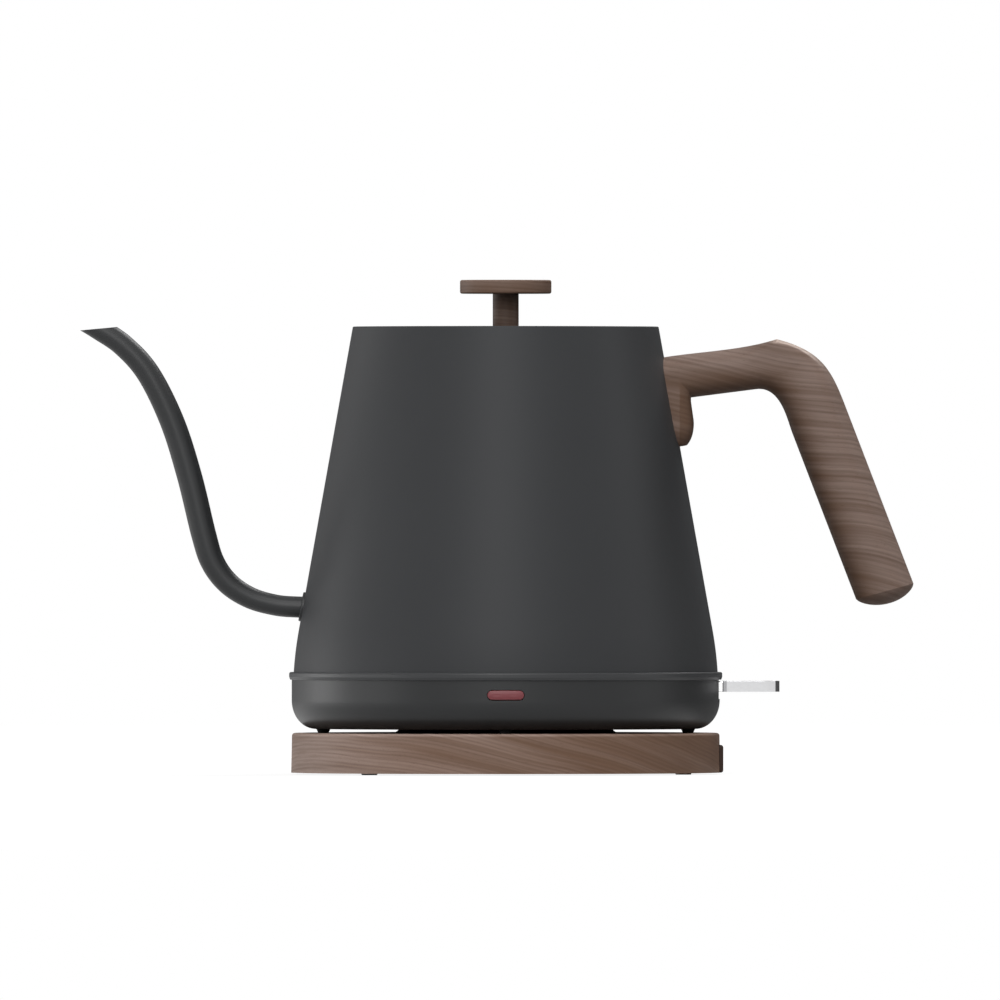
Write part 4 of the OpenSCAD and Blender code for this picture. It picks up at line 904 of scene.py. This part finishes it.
def handle_pad():
    """The pad on the wall, section by section upwards. Below its bend, its half width and its
    front face both follow a quarter ellipse. Each section runs out along a flat side, turns over a
    quarter ellipse to the front face, and returns along the vessel's wall. A plane that rises to
    the front cuts its foot."""
    z = np.concatenate([np.linspace(PAD_FOOT, 123.0, 21),
                        np.linspace(123.8, HANDLE_Z - 5, 14)])[:, None]
    fall = np.sqrt(1 - np.clip((PAD_BEND - z) / PAD_ROUND, 0, 0.98) ** 2)
    width, deep, soft = 3 + 8 * fall, 4.85 * fall, 4.6 * np.sqrt(fall)
    edge = PAD_X - np.clip((z - 123.5) / 7, 0, 1)
    t = np.radians(np.linspace(0, 90, 12))
    side = np.linspace(0, 1, 5)[:-1]
    x = np.hstack([edge * np.ones_like(side), edge + deep * np.sin(t)])
    y = np.hstack([width * np.ones_like(side), width - soft * (1 - np.cos(t))])
    x[:, :len(side)] = on_wall(y[:, :len(side)], z, INTO_WALL) * (1 - side) + edge * side
    back = width * np.linspace(1, -1, 11)
    x = np.hstack([x, x[:, ::-1], on_wall(back, z, INTO_WALL)])
    y = np.hstack([y, -y[:, ::-1], -back])[:, ::-1]
    rise, front = 0.17, 63.9
    z = np.maximum(z, PAD_FOOT + 1.0 - (front - x) * rise)
    return np.stack([x[:, ::-1], y, z[:, ::-1]], -1)


def end_cap():
    """The grip's end: a crisp rim, then a dome that moves out by 4.5 (1 - k k) ** 0.7 as the
    section shrinks to its share k."""
    out = 4.5 * unit(OUTER[2, 3] - OUTER[2, 2])
    end = np.full(len(SIDES), 3.0)
    return np.array([section(end, SIDES, k, out * (1 - k * k) ** 0.7)
                     for k in np.linspace(1, 0.07, 20)])


bar, pad, cap = [skin(points, tips=("flat", "flat"))
                 for points in (handle_bar(), handle_pad(), end_cap())]
piece("handle_grip", "kettle", "handle", HANDLE_WOOD, [bar, pad], sharp=26)
piece("grip_end", "kettle", "handle_end_cap", HANDLE_WOOD, [cap], sharp=30)

# ---------------------------------------------------------------- lid


def lid():
    """The lid plate: a thin turned plate with a softened rim, pierced for the knob's screw."""
    hole_r = 2.1
    edge = rounded([(hole_r, LID_Z, 0), (LID_R, LID_Z, 0.1), (LID_R, LID_TOP_Z, 0.4),
                    (hole_r, LID_TOP_Z, 0)], hold=0.2)
    piece("lid_skin", "lid", "lid_plate", PAINT,
          [skin(turned(edge, ring_angles()), round_rows=True)])


def knob():
    """The knob's disc and stem: turned closed forms with rounded edges. The disc's tips stand for
    the ends of its profile, on the axis."""
    disc = rounded([(0.01, KNOB_Z, 0), (KNOB_R, KNOB_Z, 0.7), (KNOB_R, KNOB_TOP_Z, 0.7),
                    (0.01, KNOB_TOP_Z, 0)], steps=7)
    tips = ((0, 0, KNOB_Z), (0, 0, KNOB_TOP_Z))
    piece("knob_disc", "lid", "knob_cap", KNOB_WOOD,
          [skin(turned(disc[1:-1], ring_angles(144)), tips=tips)])
    hole_r = 2.05
    stem = rounded([(hole_r, LID_TOP_Z, 0), (STEM_R, LID_TOP_Z, 0.2), (STEM_R, KNOB_Z, 0.2),
                    (hole_r, KNOB_Z, 0)], steps=4, hold=0.1)
    # The stem's finish holds painted shade
    piece("knob_post", "lid", "knob_stem", SHADED_STEM_WOOD,
          [skin(turned(stem, ring_angles(96)), round_rows=True)])


lid()
knob()

# ---------------------------------------------------------------- light, worktop and camera

# Mirrors see a dark wedge of the room, as from a dark wall: the angles round the axis over which
# it comes and goes, the heights over which it ends, and how dark it is
WEDGE_FROM, WEDGE_TO, WEDGE_TOP, WEDGE_DARK = (-0.05, 0.07), (1.8, 2.6), (0.5, 0.8), 0.92
WORKTOP_Z, WORKTOP_TONE, ROOM_FILL = -0.05, 0.25, 0.03

# Name, place, what it faces, size and power, in metres and watts
LIGHTS = [
    ("front", (-0.09, -1.8, 0.85), (0, 0, 0.09), (0.5, 1.0), 12.0),
    ("front_left", (-0.496, -1.73, 0.85), (0, 0, 0.09), (0.5, 1.0), 3.2),
    ("over_front", (0.0, -1.0, 1.5), (0, 0, 0.09), (1.0, 0.8), 9.6),
    ("low_left", (-1.69, 0.616, 0.12), (0, 0, 0.02), (0.9, 0.22), 5.2),
    ("low_front_left", (-1.70, -0.59, 0.12), (0, 0, 0.02), (0.7, 0.22), 3.4),
    ("right_strip", (1.797, -0.1, 0.62), (0, 0, 0.09), (0.28, 0.8), 3.8),
    ("over_back", (0.85, 0.95, 1.4), (0.1, 0, 0.13), (0.8, 0.7), 14.0),
]

# The camera's place, and the width of the frame at the kettle, in metres
CAMERA_AT, FRAME_WIDTH = (-0.002, -14.0, 0.096), 0.350


def wedge(x, y):
    """1 in the dark wedge, which runs from the right round to the back, and 0 outside it."""
    side = y.angle(x)
    return side.between(*WEDGE_FROM) * (1.0 - side.between(*WEDGE_TO))


def stage_finish(name, tone):
    """A pale matt worktop. The camera sees a little light of its own round the kettle, and plain
    white beyond 0.35 m, so that the kettle's shadow stays and no edge shows. Mirrors see it white,
    but for the dark wedge."""
    f = Finish(name, Base_Color=(tone, tone, tone), Roughness=0.9, Specular_IOR_Level=0.0,
               Emission_Strength=1.0)
    x, y, _ = f.place()
    flat = f.node("ShaderNodeCombineXYZ", values={0: x, 1: y})
    far = f.node("ShaderNodeVectorMath", {"operation": "LENGTH"}, {0: flat}, out=1).between(90, 350)
    seen = (f.ray("Camera") * (far * 0.14 + 0.86) + f.ray("Transmission")
            + f.ray("Glossy") * (1.0 - wedge(x, y) * WEDGE_DARK))
    f.set(Emission_Color=f.mix(seen, (0, 0, 0), (1, 1, 1)))
    return f.material


def worktop():
    """A level disc 6 m across, just under the feet."""
    points = turned([(r, WORKTOP_Z) for r in (3000.0, 400.0, 150.0)], ring_angles(96))
    p, quads, fans = skin(points, tips=(None, (0, 0, WORKTOP_Z)))
    mesh = bpy.data.meshes.new("worktop")
    mesh.from_pydata((p * MM).tolist(), [], quads.tolist() + fans[0].tolist())
    mesh.materials.append(stage_finish("pale_worktop", WORKTOP_TONE))
    put("worktop", mesh)


def soft_light(name, spot, aim, size, power):
    """A rectangular area light at spot, facing aim."""
    data = bpy.data.lights.new(name, "AREA")
    data.shape, data.size, data.size_y, data.energy = "RECTANGLE", *size, power
    obj = put(name, data)
    x, y, z = np.array(spot, float) - np.array(aim, float)
    obj.location = spot
    obj.rotation_euler = (math.atan2(math.hypot(x, y), z), 0, math.atan2(x, -y))


def studio():
    """Soft lamps round the kettle, and a white room for the camera, mirrors and glass. Mirrors see
    the dark wedge in it, low down. Matt surfaces get a faint fill from it."""
    for row in LIGHTS:
        soft_light(*row)
    world = bpy.data.worlds.new("studio")
    bpy.context.scene.world = world
    room = Nodes(world)
    x, y, z = room.split(room.node("ShaderNodeTexCoord", out="Generated"))
    mirror = room.ray("Glossy")
    dark = wedge(x, y) * (1.0 - z.between(*WEDGE_TOP)) * mirror * WEDGE_DARK
    fill, white = [room.node("ShaderNodeBackground", values={"Color": (1, 1, 1), "Strength": level})
                   for level in (ROOM_FILL, 1.0 - dark)]
    seen = room.ray("Camera").larger(mirror).larger(room.ray("Transmission"))
    both = room.node("ShaderNodeMixShader", values={0: seen, 1: fill, 2: white})
    room.node("ShaderNodeOutputWorld", values={"Surface": both})
    bpy.context.scene.view_settings.view_transform = "Standard"


def camera():
    """Square on from the front and 14 m off, so that the frame's width fits at the kettle."""
    data = bpy.data.cameras.new("camera")
    data.sensor_width = 36
    data.lens = 36 * -CAMERA_AT[1] / FRAME_WIDTH
    data.clip_end = 100
    obj = put("camera", data)
    obj.location = CAMERA_AT
    obj.rotation_euler = (math.pi / 2, 0, 0)
    bpy.context.scene.camera = obj


worktop()
studio()
camera()
